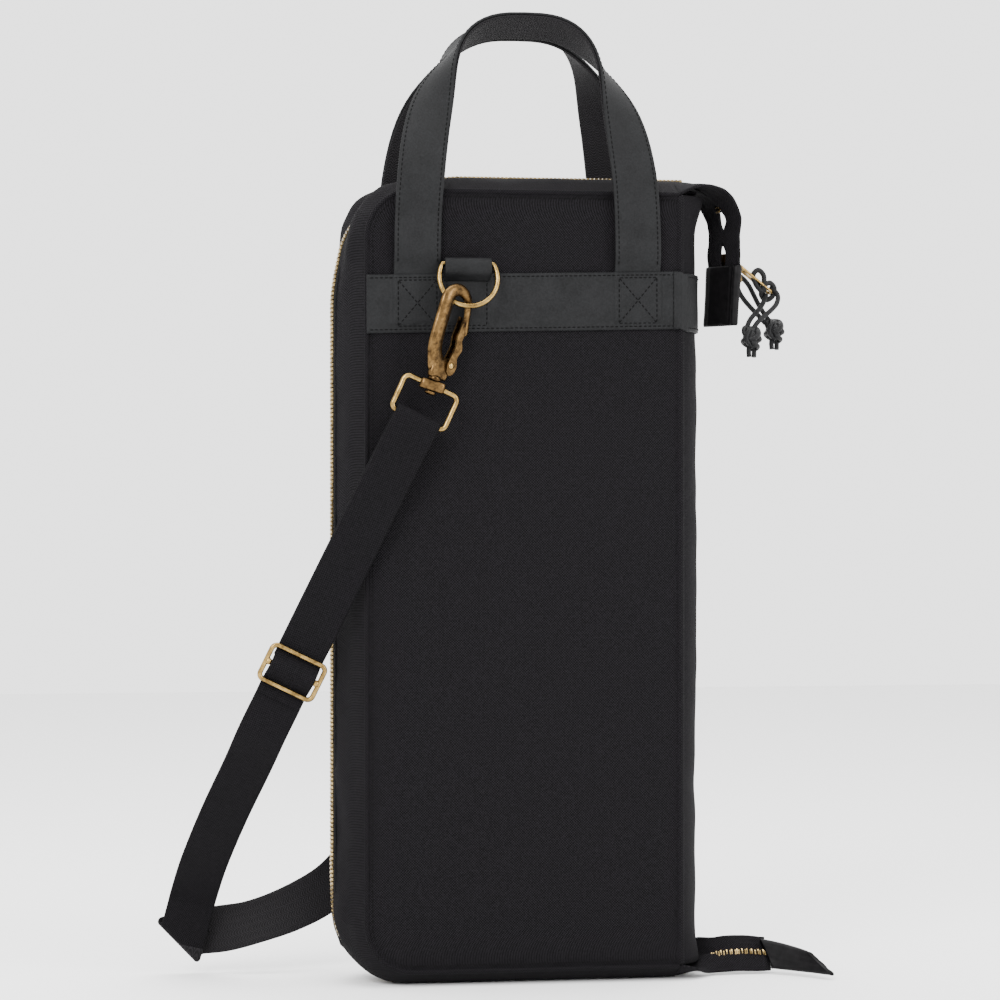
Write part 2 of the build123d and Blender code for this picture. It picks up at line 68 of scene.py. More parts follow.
# ---- Materials ----
class Nodes:
    """A procedural material's node tree, with short calls for what the finishes need."""

    def __init__(self, name, color, rough, metallic=0.0, gloss=0.08):
        self.material = bpy.data.materials.new(name)
        self.material.use_nodes = True
        self.tree = self.material.node_tree
        self.shader = self.tree.nodes["Principled BSDF"]
        self.shader.inputs["Base Color"].default_value = (*color, 1)
        self.shader.inputs["Roughness"].default_value = rough
        self.shader.inputs["Metallic"].default_value = metallic
        self.shader.inputs["Specular IOR Level"].default_value = 0.5 if metallic else gloss
        self.coords = self.tree.nodes.new("ShaderNodeTexCoord")

    def link(self, source, target):
        self.tree.links.new(source, target)

    def math(self, operation, first, second=None):
        node = self.tree.nodes.new("ShaderNodeMath")
        node.operation = operation
        for socket, value in zip(node.inputs, (first, second)):
            if isinstance(value, (int, float)):
                socket.default_value = value
            elif value is not None:
                self.link(value, socket)
        return node.outputs[0]

    def blend(self, first, share, second, other):
        """A weighted sum of two factors."""
        return self.math("ADD", self.math("MULTIPLY", first, share), self.math("MULTIPLY", second, other))

    def uv(self):
        node = self.tree.nodes.new("ShaderNodeSeparateXYZ")
        self.link(self.coords.outputs["UV"], node.inputs[0])
        return node.outputs[0], node.outputs[1]

    def noise(self, scale, detail=4.0, rough=0.6):
        node = self.tree.nodes.new("ShaderNodeTexNoise")
        node.inputs["Scale"].default_value = scale
        node.inputs["Detail"].default_value = detail
        node.inputs["Roughness"].default_value = rough
        self.link(self.coords.outputs["Object"], node.inputs["Vector"])
        return node.outputs["Fac"]

    def wave(self, coordinate, pitch):
        """A sine along a coordinate, from 0 to 1, that repeats at this pitch."""
        turned = self.math("MULTIPLY", coordinate, 2 * math.pi / pitch)
        return self.math("ADD", self.math("MULTIPLY", self.math("SINE", turned), 0.5), 0.5)

    def mix(self, factor, low, high, start=0.3, end=0.7):
        """The base colour runs from low to high as the factor goes from start to end."""
        ramp = self.tree.nodes.new("ShaderNodeValToRGB")
        ramp.color_ramp.elements[0].position = start
        ramp.color_ramp.elements[1].position = end
        ramp.color_ramp.elements[0].color = (*low, 1)
        ramp.color_ramp.elements[1].color = (*high, 1)
        self.link(factor, ramp.inputs[0])
        self.link(ramp.outputs[0], self.shader.inputs["Base Color"])

    def spread(self, factor, low, high):
        """The roughness runs from low to high with the factor."""
        node = self.tree.nodes.new("ShaderNodeMapRange")
        node.inputs["To Min"].default_value = low
        node.inputs["To Max"].default_value = high
        self.link(factor, node.inputs[0])
        self.link(node.outputs[0], self.shader.inputs["Roughness"])

    def bump(self, height, distance, strength=1.0):
        node = self.tree.nodes.new("ShaderNodeBump")
        node.inputs["Distance"].default_value = distance
        node.inputs["Strength"].default_value = strength
        self.link(height, node.inputs["Height"])
        self.link(node.outputs[0], self.shader.inputs["Normal"])


def woven(name, low, high, pitch, depth):
    """Plain-woven cloth: threads cross over and under each other."""
    cloth = Nodes(name, low, 0.85)
    u, v = cloth.uv()
    along, across = cloth.wave(u, 2 * pitch), cloth.wave(v, 2 * pitch)
    weave = cloth.math("ABSOLUTE", cloth.math("SUBTRACT", along, across))
    slub = cloth.noise(700, 3.0)
    cloth.mix(cloth.blend(weave, 0.5, slub, 0.5), low, high, 0.28, 0.62)
    cloth.bump(cloth.blend(weave, 1.0, slub, 0.5), depth)
    return cloth.material


def webbed(name, low, high):
    """Herringbone webbing: slanted ribs that change sides across the strap."""
    cloth = Nodes(name, low, 0.8, gloss=0.16)
    u, v = cloth.uv()
    zigzag = cloth.math("ABSOLUTE", cloth.math("SUBTRACT", cloth.wave(v, 9 * MM), 0.5))
    slant = cloth.math("ADD", u, cloth.math("MULTIPLY", zigzag, 4 * MM))
    rib = cloth.wave(slant, 1.7 * MM)
    slub = cloth.noise(900, 3.0)
    cloth.mix(cloth.blend(rib, 0.5, slub, 0.5), low, high)
    cloth.bump(cloth.blend(rib, 1.0, slub, 0.4), 0.25 * MM)
    return cloth.material


def hide(name, low, high, rough_low, rough_high):
    """Brushed leather: a fine grain and cloudy rubbed patches."""
    skin = Nodes(name, low, 0.6, gloss=0.13)
    cloud = skin.noise(60, 8.0, 0.72)
    grain = skin.noise(900, 4.0, 0.7)
    skin.mix(skin.blend(cloud, 0.5, grain, 0.5), low, high, 0.38, 0.64)
    skin.spread(cloud, rough_low, rough_high)
    skin.bump(skin.blend(grain, 1.0, cloud, 0.6), 0.14 * MM)
    return skin.material


def metal(name, low, high, rough_low, rough_high, dents=0.05):
    """Aged plated metal: bright where rubbed, darker and duller in patches."""
    skin = Nodes(name, high, 0.3, metallic=1.0)
    patch = skin.noise(160, 8.0, 0.75)
    skin.mix(patch, low, high, 0.36, 0.62)
    skin.spread(patch, rough_high, rough_low)
    skin.bump(skin.noise(500, 3.0), dents * MM)
    return skin.material


def plain(name, low, high, rough, grain=800, depth=0.08):
    """A plain finish with a fine grain."""
    skin = Nodes(name, low, rough, gloss=0.1)
    fine = skin.noise(grain, 3.0)
    skin.mix(fine, low, high)
    skin.bump(fine, depth * MM)
    return skin.material


def braided(name, low, high):
    """A round braided lace: two sets of strands that wind both ways."""
    cloth = Nodes(name, low, 0.5, gloss=0.16)
    u, v = cloth.uv()
    left = cloth.wave(cloth.math("ADD", u, v), 1.6 * MM)
    right = cloth.wave(cloth.math("SUBTRACT", u, v), 1.6 * MM)
    braid = cloth.math("MAXIMUM", left, right)
    cloth.mix(braid, low, high)
    cloth.bump(braid, 0.1 * MM)
    return cloth.material


CANVAS = woven("canvas_finish", (0.0001, 0.0001, 0.0001), (0.0078, 0.0068, 0.0084), 0.8 * MM, 0.3 * MM)
TAPE = woven("zip_tape_finish", (0.001, 0.001, 0.0012), (0.0045, 0.0045, 0.005), 0.35 * MM, 0.08 * MM)
STRAP = woven("strap_finish", (0.0002, 0.0002, 0.0003), (0.006, 0.0052, 0.0064), 0.7 * MM, 0.25 * MM)
WEBBING = webbed("webbing_finish", (0.0008, 0.0006, 0.0009), (0.0072, 0.0062, 0.0074))
LEATHER = hide("leather_finish", (0.0012, 0.0013, 0.0015), (0.0078, 0.008, 0.0086), 0.5, 0.78)
BRASS = metal("brass_finish", (0.010, 0.005, 0.0025), (0.15, 0.088, 0.033), 0.2, 0.42)
BRIGHT = metal("bright_brass_finish", (0.10, 0.06, 0.02), (0.34, 0.225, 0.075), 0.18, 0.34, 0.02)
TEETH = metal("zip_teeth_finish", (0.05, 0.032, 0.012), (0.42, 0.31, 0.14), 0.2, 0.34, 0.02)
THREAD = plain("thread_finish", (0.0001, 0.0001, 0.0001), (0.0006, 0.0006, 0.0007), 0.8)
LACE = braided("lace_finish", (0.0004, 0.0004, 0.0005), (0.0045, 0.0045, 0.005))
CAP = plain("cap_finish", (0.0006, 0.0005, 0.0007), (0.0034, 0.003, 0.0034), 0.5, 260, 0.12)
LINING = woven("lining_finish", (0.012, 0.012, 0.0135), (0.026, 0.026, 0.029), 0.3 * MM, 0.06 * MM)
FOAM = plain("foam_board_finish", (0.02, 0.02, 0.02), (0.035, 0.035, 0.035), 0.9, 400, 0.2)


# ---- Mesh building ----
def add(name, verts, faces, uvs, finish, slot, smooth=True):
    """One mesh object. uvs gives each vertex its place on the cloth, in metres."""
    mesh = bpy.data.meshes.new(name)
    mesh.from_pydata([tuple(v) for v in verts], [], faces)
    layer = mesh.uv_layers.new(name="UVMap")
    for loop in mesh.loops:
        layer.data[loop.index].uv = uvs[loop.vertex_index]
    mesh.polygons.foreach_set("use_smooth", [smooth] * len(mesh.polygons))
    mesh.materials.append(finish)
    mesh.validate()
    obj = bpy.data.objects.new(name, mesh)
    bpy.context.scene.collection.objects.link(obj)
    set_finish(obj, slot)
    return obj


def skin_rings(rings, closed=True, looped=False):
    """Vertices, faces and uvs of a surface through rings of points.

    closed joins each ring's ends, and looped joins the last ring to the first.
    """
    count = len(rings[0])
    verts, uvs, faces = [], [], []
    along = 0.0
    for n, ring in enumerate(rings):
        if n:
            along += (sum(ring, Vector()) / count - sum(rings[n - 1], Vector()) / count).length
        around = 0.0
        for m, point in enumerate(ring):
            if m:
                around += (point - ring[m - 1]).length
            verts.append(point)
            uvs.append((along, around))
    total = len(rings)
    for n in range(total if looped else total - 1):
        here, there = n * count, ((n + 1) % total) * count
        for m in range(count if closed else count - 1):
            k = (m + 1) % count
            faces.append((here + m, here + k, there + k, there + m))
    if closed and not looped:
        faces.append(tuple(reversed(range(count))))
        faces.append(tuple(range((total - 1) * count, total * count)))
    return verts, faces, uvs


def outward(obj):
    """Turn every face so that it looks out of the piece."""
    work = bmesh.new()
    work.from_mesh(obj.data)
    bmesh.ops.recalc_face_normals(work, faces=work.faces)
    work.to_mesh(obj.data)
    work.free()
    return obj


def loft(name, rings, finish, slot, closed=True, looped=False):
    return outward(add(name, *skin_rings(rings, closed, looped), finish, slot))


def cloth(name, rings, finish, slot, thick):
    """A sheet through rings of points, with its thickness shared between both sides."""
    obj = loft(name, rings, finish, slot, closed=False)
    modifier = obj.modifiers.new("thickness", "SOLIDIFY")
    modifier.thickness = thick * MM
    modifier.offset = 0.0
    modifier.use_even_offset = True
    graph = bpy.context.evaluated_depsgraph_get()
    mesh = bpy.data.meshes.new_from_object(obj.evaluated_get(graph))
    obj.modifiers.clear()
    obj.data = mesh
    return obj


def creased(obj, degrees=35):
    """Keep edges sharper than this angle crisp."""
    obj.data.set_sharp_from_angle(angle=math.radians(degrees))
    return obj


def curve_points(points, steps):
    """A smooth curve through the points, with this many steps between neighbours."""
    pts = [Vector(p) for p in points]
    pts = [pts[0] * 2 - pts[1]] + pts + [pts[-1] * 2 - pts[-2]]
    out = []
    for a, b, c, d in zip(pts, pts[1:], pts[2:], pts[3:]):
        for s in range(steps):
            t = s / steps
            out.append(
                0.5 * (
                    (2 * b) + (c - a) * t + (2 * a - 5 * b + 4 * c - d) * t * t
                    + (3 * b - a - 3 * c + d) * t ** 3
                )
            )
    return out + [pts[-2]]


def directions(path):
    """The way a path runs at each of its points."""
    ways = []
    for n in range(len(path)):
        ways.append((path[min(n + 1, len(path) - 1)] - path[max(n - 1, 0)]).normalized())
    return ways


def round_rect(width, height, radius, steps=3):
    """A rounded rectangle's outline."""
    flat_x, flat_y = width / 2 - radius, height / 2 - radius
    points = []
    for cx, cy, start in ((1, 1, 0), (-1, 1, 90), (-1, -1, 180), (1, -1, 270)):
        for s in range(steps + 1):
            a = math.radians(start + 90 * s / steps)
            points.append((cx * flat_x + radius * math.cos(a), cy * flat_y + radius * math.sin(a)))
    return points


def strap_section(width, thick, ribs=12):
    """A flat strap's outline, with enough points over its faces to bend softly and rounded edges."""
    half = width / 2 - thick / 2
    top = [(half - 2 * half * n / ribs, thick / 2) for n in range(ribs + 1)]
    left = [(-half - thick / 2 * math.sin(a), thick / 2 * math.cos(a)) for a in (0.8, 1.57, 2.34)]
    bottom = [(-x, -y) for x, y in top]
    right = [(-x, -y) for x, y in left]
    return top + left + bottom + right


def swept(name, path, section, finish, slot, wide=None, looped=False):
    """Sweep an outline along a path.

    wide gives the way of the outline's width at each point. Without it, the outline turns as little
    as it can.
    """
    ways = directions(path)
    if looped:
        ways = [(path[(n + 1) % len(path)] - path[n - 1]).normalized() for n in range(len(path))]
    rings = []
    side = ways[0].orthogonal().normalized()
    for n, (point, way) in enumerate(zip(path, ways)):
        if wide is not None:
            side = wide[n]
        side = (side - way * side.dot(way)).normalized()
        up = way.cross(side)
        shape = section(n) if callable(section) else section
        rings.append([point + side * x + up * y for x, y in shape])
    return loft(name, rings, finish, slot, looped=looped)


def disc(radius, steps=12):
    return [
        (radius * math.cos(2 * math.pi * n / steps), radius * math.sin(2 * math.pi * n / steps))
        for n in range(steps)
    ]


def oval(across, up):
    """A small oval outline, in metres, from its half sizes in millimetres."""
    return [(x * across * MM, y * up * MM) for x, y in disc(1.0, 8)]


def metres(points):
    return [point * MM for point in points]


def wire_frame(middle, across, along, half_wide, half_tall, corner):
    """The middle line of a rectangular wire frame with round corners."""
    border = []
    for cx, cy, start_angle in ((-1, 1, 180), (1, 1, 90), (1, -1, 0), (-1, -1, -90)):
        for n in range(9):
            a = math.radians(start_angle - 90 * n / 8)
            x = cx * (half_wide - corner) + corner * math.cos(a)
            y = cy * (half_tall - corner) + corner * math.sin(a)
            border.append(middle + across * x + along * y)
    full = []
    for n, here in enumerate(border):
        there = border[(n + 1) % len(border)]
        many = max(1, int((there - here).length / 3))
        full += [here.lerp(there, k / many) for k in range(many)]
    return metres(full)


def joined(name, parts):
    """One object from several, under one name."""
    bpy.ops.object.select_all(action="DESELECT")
    for part in parts:
        part.select_set(True)
    bpy.context.view_layer.objects.active = parts[0]
    bpy.ops.object.join()
    parts[0].name = name
    return parts[0]


def tube_faces(base, rows, sides):
    """The faces of a closed tube: rows of sides points each, one after another from base."""
    faces = []
    for i in range(rows - 1):
        for j in range(sides):
            a, b = base + i * sides + j, base + i * sides + (j + 1) % sides
            faces.append((a, b, b + sides, a + sides))
    faces.append(tuple(base + j for j in reversed(range(sides))))
    faces.append(tuple(base + (rows - 1) * sides + j for j in range(sides)))
    return faces


# A stitch along its length: place, share of its thickness, height over the cloth in thicknesses
STITCH = ((0.0, 0.25, -0.55), (0.14, 0.8, -0.1), (0.5, 1.0, 0.12), (0.86, 0.8, -0.1), (1.0, 0.25, -0.55))


def stitched(
    name, runs, finish=THREAD, slot="leather", pitch=3.3 * MM, gap=0.8 * MM, thick=0.42 * MM, sink=0.0
):
    """Rows of short raised stitches, each a small padded thread.

    A run is its points and the direction that it faces.
    """
    verts, faces, uvs = [], [], []
    ring = disc(1.0, 6)
    for points, face in runs:
        path = [Vector(p) for p in points]
        lengths = [0.0]
        for a, b in zip(path, path[1:]):
            lengths.append(lengths[-1] + (b - a).length)
        count = max(1, int(round(lengths[-1] / pitch)))

        def spot(d):
            for n in range(len(path) - 1):
                if d <= lengths[n + 1] or n == len(path) - 2:
                    return path[n].lerp(
                        path[n + 1], (d - lengths[n]) / max(lengths[n + 1] - lengths[n], 1e-9)
                    )

        for k in range(count):
            a = spot(lengths[-1] * k / count + gap / 2)
            b = spot(lengths[-1] * (k + 1) / count - gap / 2)
            way = (b - a).normalized()
            facings = face if isinstance(face[0], (tuple, list, Vector)) else [face]
            normal = Vector(facings[k * len(facings) // count])
            normal = (normal - way * normal.dot(way)).normalized()
            side = way.cross(normal)
            base = len(verts)
            for t, r, lift in STITCH:
                middle = a.lerp(b, t) + normal * (lift * thick - sink)
                for x, y in ring:
                    verts.append(middle + (side * x + normal * y * 0.75) * r * thick)
                    uvs.append((t * pitch, x * thick))
            faces += tube_faces(base, len(STITCH), len(ring))
    return outward(add(name, verts, faces, uvs, finish, slot))


def ride(obj, body, *nodes):
    """Fix a finished piece to its body, standing for these CAD nodes."""
    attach(obj, body)
    if nodes:
        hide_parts(*nodes)
    return obj


def wobble(point, scale, amount, seed=0.0):
    """A smooth random push at a point."""
    return noise.noise(Vector(point) * scale + Vector((seed, seed * 1.7, seed * 0.6))) * amount


def smooth_step(value):
    value = min(max(value, 0.0), 1.0)
    return value * value * (3 - 2 * value)


# ---- The laces, free cords that follow the CAD's routes ----
LACES = {
    "lower_lace_outer": [
        (160.0, 12.0, 418.1), (165, 10.4, 414.8), (164, 7, 408.2), (158, 3, 402.6), (150.6, -1, 397.6),
        (145.4, -4, 391.8), (144.2, -5, 387.4)
    ],
    "lower_lace_inner": [
        (157.3, 10.2, 413.4), (155.4, 7.6, 408.6), (150.6, 4, 403), (145, 0.4, 398.2), (141.6, -3, 392.4),
        (140.6, -4.8, 387.4)
    ],
    "upper_lace_outer": [
        (142.8, 16.6, 424.8), (147.4, 18.4, 421.6), (151.4, 19.6, 414.6), (155.2, 20.2, 407.4),
        (159.2, 20.4, 401.4), (163, 20.6, 396.4)
    ],
    "upper_lace_inner": [
        (139.1, 14.5, 422.6), (140.6, 15.4, 416.6), (144.8, 17, 410.6), (150, 18.4, 405.4),
        (155.2, 19.4, 400.6), (159.4, 20, 396.2)
    ],
}
LACE_WIDE = 3.0 * MM


def nurbs(name, points, radius):
    """A round cord on one open NURBS line along points in millimetres. The radius is in metres."""
    data = bpy.data.curves.new(name, "CURVE")
    data.dimensions = "3D"
    spline = data.splines.new("NURBS")
    spline.points.add(len(points) - 1)
    for target, point in zip(spline.points, points):
        target.co = (*[c * MM for c in point], 1)
    spline.order_u = 3
    spline.use_endpoint_u = True
    data.resolution_u = 8
    data.bevel_depth = radius
    data.bevel_resolution = 4
    data.use_fill_caps = True
    data.materials.append(LACE)
    obj = bpy.data.objects.new(name, data)
    bpy.context.scene.collection.objects.link(obj)
    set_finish(obj, "lace")
    return obj


def curve_length(points):
    """The length of an order-3 NURBS line with unit weights through these control points."""
    pts = [Vector(p) * MM for p in points]
    total, last = 0.0, pts[0]
    for n in range(1, len(pts) - 1):
        a = pts[0] if n == 1 else (pts[n - 1] + pts[n]) / 2
        c = pts[-1] if n == len(pts) - 2 else (pts[n] + pts[n + 1]) / 2
        for s in range(1, 21):
            t = s / 20
            here = a * (1 - t) ** 2 + pts[n] * 2 * t * (1 - t) + c * t * t
            total += (here - last).length
            last = here
    return total


laces = {}
for name, points in LACES.items():
    lace = nurbs(name, points, LACE_WIDE / 2)
    ride(lace, name.split("_")[0] + "_pull", name)
    laces[name] = lace


def knot(name, centre, body):
    """A figure-of-eight knot: the doubled lace wraps round itself in slanting turns.

    Two short cut ends hang out.
    """
    cx, cy, cz = centre
    middle = Vector(centre) * MM
    parts = []
    for turn, tilt, wide, lift in (
        (0.3, 0.75, 5.0, 3.4), (1.9, -0.7, 5.3, 1.0), (3.4, 0.65, 5.2, -1.6), (5.0, -0.8, 4.7, -3.8),
        (0.9, 1.45, 6.2, 0.0)
    ):
        path = []
        for n in range(32):
            a = 2 * math.pi * n / 32
            loop = Vector((wide * math.cos(a), wide * 0.86 * math.sin(a), 0.7 * math.sin(3 * a + turn)))
            path.append(
                middle
                + (
                    Matrix.Rotation(turn, 3, "Z") @ Matrix.Rotation(tilt, 3, "X") @ loop
                    + Vector((0, 0, lift))
                ) * MM
            )
        parts.append(swept(f"{name}_wrap", path, disc(1.6 * MM, 10), LACE, "lace", looped=True))
    heart = []
    for k in range(9):
        polar = math.pi * (k + 0.3) / 8.6
        spin_round = [2 * math.pi * m / 14 for m in range(14)]
        wide, deep, level = 4.3 * math.sin(polar), 4.0 * math.sin(polar), 6.4 * math.cos(polar)
        heart.append(
            [middle + Vector((wide * math.cos(a), deep * math.sin(a), level)) * MM for a in spin_round]
        )
    parts.append(loft(f"{name}_heart", heart, LACE, "lace"))
    for way in (-1, 1):
        tail = curve_points(
            [
                (cx + way * 1.2, cy, cz - 4), (cx + way * 1.8, cy + 0.4 * way, cz - 8),
                (cx + way * 1.5, cy - 0.6, cz - 11.8)
            ],
            6
        )
        parts.append(swept(f"{name}_end", metres(tail), disc(1.5 * MM, 10), LACE, "lace"))
    return ride(joined(name, parts), body, name)


lower_knot = knot("lower_lace_knot", (144.0, -5.4, 386.0), "lower_pull")
upper_knot = knot("upper_lace_knot", (165.0, 20.4, 392.0), "upper_pull")
HITCH = [
    [
        (155.4, 8.8, 419.0), (159.6, 9.8, 420.6), (162.8, 11.4, 417.4), (162.0, 12.6, 412.6),
        (157.8, 12.4, 410.2), (154.4, 10.8, 413.4)
    ],
    [
        (154.2, 9.8, 415.4), (150.6, 8.6, 419.4), (148.4, 7.6, 425.0), (151.4, 7.0, 428.2),
        (155.0, 7.6, 425.2), (155.6, 8.6, 419.8), (155.8, 9.8, 415.6)
    ],
]
turns = []
for corners in HITCH:
    route = curve_points(corners + corners[:1], 6)[:-1]
    turns.append(swept("lower_lace_turn", metres(route), disc(1.6 * MM, 12), LACE, "lace", looped=True))
ride(joined("lower_lace_hitch", turns), "lower_pull")
for name, lace in laces.items():
    curve_length(LACES[name])


# ---- Outlines of the halves: left, bottom, top, corner radius, in millimetres ----
PANEL_RIGHT = 93.0
SEAM = (-96.0, 8.0, 470.0, 28.0)
SHOULDER = (-106.0, 0.0, 477.0, 36.0)
EDGE = (-112.0, 0.0, 480.0, 44.0)


def outline(shape, inset=0.0, right=PANEL_RIGHT, counts=(44, 16, 100)):
    """Points round a half from the spine's top to its bottom, and the way out of the bag at each."""
    left, bottom, top, corner = shape
    left, bottom, top, corner = left + inset, bottom + inset, top - inset, max(corner - inset, 0.5)
    points, normals = [], []
    for n in range(counts[0]):
        points.append((right + (left + corner - right) * n / counts[0], top))
        normals.append((0, 1))
    for n in range(counts[1]):
        a = math.radians(90 + 90 * n / counts[1])
        points.append((left + corner + corner * math.cos(a), top - corner + corner * math.sin(a)))
        normals.append((math.cos(a), math.sin(a)))
    for n in range(counts[2]):
        points.append((left, top - corner - (top - bottom - 2 * corner) * n / counts[2]))
        normals.append((-1, 0))
    for n in range(counts[1]):
        a = math.radians(180 + 90 * n / counts[1])
        points.append((left + corner + corner * math.cos(a), bottom + corner + corner * math.sin(a)))
        normals.append((math.cos(a), math.sin(a)))
    for n in range(counts[0] + 1):
        points.append((left + corner + (right - left - corner) * n / counts[0], bottom))
        normals.append((0, -1))
    return points, normals


def left_of(z, shape):
    """The outline's left limit at a height."""
    left, bottom, top, corner = shape
    over = max(z - (top - corner), (bottom + corner) - z, 0.0)
    over = min(over, corner)
    return left + corner - math.sqrt(corner * corner - over * over)


def corner_near(x, z):
    """How close a point is to the middle of the upper free corner, from 0 to 1."""
    return smooth_step(1 - math.hypot(x + 99, z - 467) / 66)


REAR_SHIFT = 74.0
SIDES = (("front", -1.0, 0.0), ("rear", 1.0, REAR_SHIFT))
CORNER_PULL = 10.0
PANEL_DEPTH = 32.5
SEAM_DEPTH, SHOULDER_DEPTH, EDGE_DEPTH = 32.3, 18, 5


def shares(v):
    """How much of the seam, the shoulder and the edge make up a gusset's curve at v, from 0 to 1."""
    return 2 * v * v - 3 * v + 1, 4 * v - 4 * v * v, 2 * v * v - v


def gusset_depth(v):
    a, b, c = shares(v)
    return SEAM_DEPTH * a + SHOULDER_DEPTH * b + EDGE_DEPTH * c


def panel_depth(x, z, facing):
    """How far the panel's cloth stands from the zip's plane: soft by the seams, flat over the board."""
    edge = min(x - left_of(z, SEAM), PANEL_RIGHT - x, z - SEAM[1], SEAM[2] - z)
    settle = smooth_step(edge / 9)
    depth = PANEL_DEPTH - 0.9 * (1 - settle)
    depth += wobble((x * 0.6, facing * 7, z), 0.021, 0.55) * settle
    depth += wobble((x * 1.4, facing * 7, z * 0.5), 0.05, 0.28, 3.0) * settle
    pucker = math.exp(-((edge - 4) / 5) ** 2)
    depth += pucker * wobble((x, facing * 11, z), 0.13, 0.7, 9.0)
    return depth


corner_rows = [SEAM[3] * (1 - math.cos(math.pi / 2 * n / 14)) for n in range(15)]
straight = SEAM[2] - SEAM[1] - 2 * SEAM[3]
heights = [SEAM[1] + row for row in corner_rows]
heights += [SEAM[1] + SEAM[3] + straight * n / 116 for n in range(1, 116)]
heights += [SEAM[2] - row for row in reversed(corner_rows)]
for side, facing, shift in SIDES:
    rings = []
    for z in heights:
        x0 = left_of(z, SEAM)
        row = []
        for n in range(71):
            x = x0 + (PANEL_RIGHT - x0) * n / 70
            row.append(Vector((x, facing * panel_depth(x, z, facing), z)) * MM)
        rings.append(row)
    panel = cloth(f"{side}_panel_cloth", rings, CANVAS, "canvas", 1.4)
    ride(panel, f"{side}_half", f"{side}_panel")

    layers = []
    pair = [outline(s)[0] for s in (SEAM, SHOULDER, EDGE)]
    normals = outline(SEAM)[1]
    for k in range(19):
        v = k / 18
        a, b, c = shares(v)
        depth = gusset_depth(v)
        ring = []
        for n, (p, q, r) in enumerate(zip(*pair)):
            x = p[0] * a + q[0] * b + r[0] * c
            z = p[1] * a + q[1] * b + r[1] * c
            fade = math.sin(math.pi * v)
            out = wobble((x, facing * depth * 2, z), 0.028, 1.5, 5.0) * fade
            corner = smooth_step(1 - abs(abs(z - 240) - 205) / 55) * smooth_step((-50 - x) / 30)
            out += wobble(
                (x * 2.2, facing * depth * 1.2, z * 2.2), 0.045, 1.5, 2.0
            ) * fade * (0.35 + 0.9 * corner)
            near = corner_near(x, z)
            out -= CORNER_PULL * near * smooth_step((v - 0.35) / 0.65)
            if facing > 0:
                out += 0.8 * near * fade
            if z < 20:
                out = min(out, 0.0) * 0.3
            ring.append(
                Vector((x + normals[n][0] * out, facing * depth, max(z + normals[n][1] * out, 0.15))) * MM
            )
        layers.append(ring)
    gusset = cloth(f"{side}_gusset_cloth", layers, CANVAS, "canvas", 1.3)
    ride(gusset, f"{side}_half", f"{side}_gusset")

    # The turned seam between panel and gusset, a raised soft edge, with its topstitching
    points, normals = outline(SEAM)
    path = [
        Vector(
            (x + nx * 0.1, facing * (PANEL_DEPTH - 0.5 + wobble((x, facing, z), 0.09, 0.35)), z + nz * 0.1)
        ) * MM for (x, z),
        (nx, nz) in zip(points, normals)
    ]
    seam = swept(
        f"{side}_seam_edge", path, oval(1.15, 1.5), CANVAS, "canvas", wide=[Vector((0, 1, 0))] * len(path)
    )
    ride(seam, f"{side}_half")
    points, normals = outline(SEAM, 3.4, counts=(60, 12, 150))
    run = [Vector((x, facing * (panel_depth(x, z, facing) + 0.75), z)) * MM for x, z in points]
    ride(
        stitched(
            f"{side}_panel_stitches", [(run, (0, facing, 0))], slot="canvas", pitch=3.0 * MM, thick=0.3 * MM
        ),
        f"{side}_half"
    )


# ---- Spine: a soft rounded strip between the halves ----
REACH, SAG = PANEL_DEPTH - 0.5, 12.4
RADIUS = (REACH ** 2 + SAG ** 2) / (2 * SAG)
AXIS_X = PANEL_RIGHT + 13 - RADIUS
SWEEP = math.asin(REACH / RADIUS)


def flare(z):
    """The strip swells where the zip's tails leave its top and its bottom."""
    return 4.5 * smooth_step((z - 448) / 22) + 2.5 * smooth_step((24 - z) / 16)


def spine_point(turn, z, grow=0.0):
    """A point on the spine's cloth: turn runs from -1, the front crease, to 1, the rear one."""
    angle = SWEEP * turn
    fade = math.cos(math.pi / 2 * turn)
    out = grow + fade * (
        3.4 + flare(z) + wobble((50 * turn, 3, z), 0.016, 1.7, 4.0)
        + wobble((30 * turn, 8, z), 0.05, 0.8, 8.0)
    )
    radius = RADIUS - 0.7 + out
    return Vector((AXIS_X + radius * math.cos(angle), radius * math.sin(angle), z)) * MM


def crease_bend(obj):
    """Bake the placement of a piece that crosses from a half to the spine into its mesh."""
    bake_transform(obj)


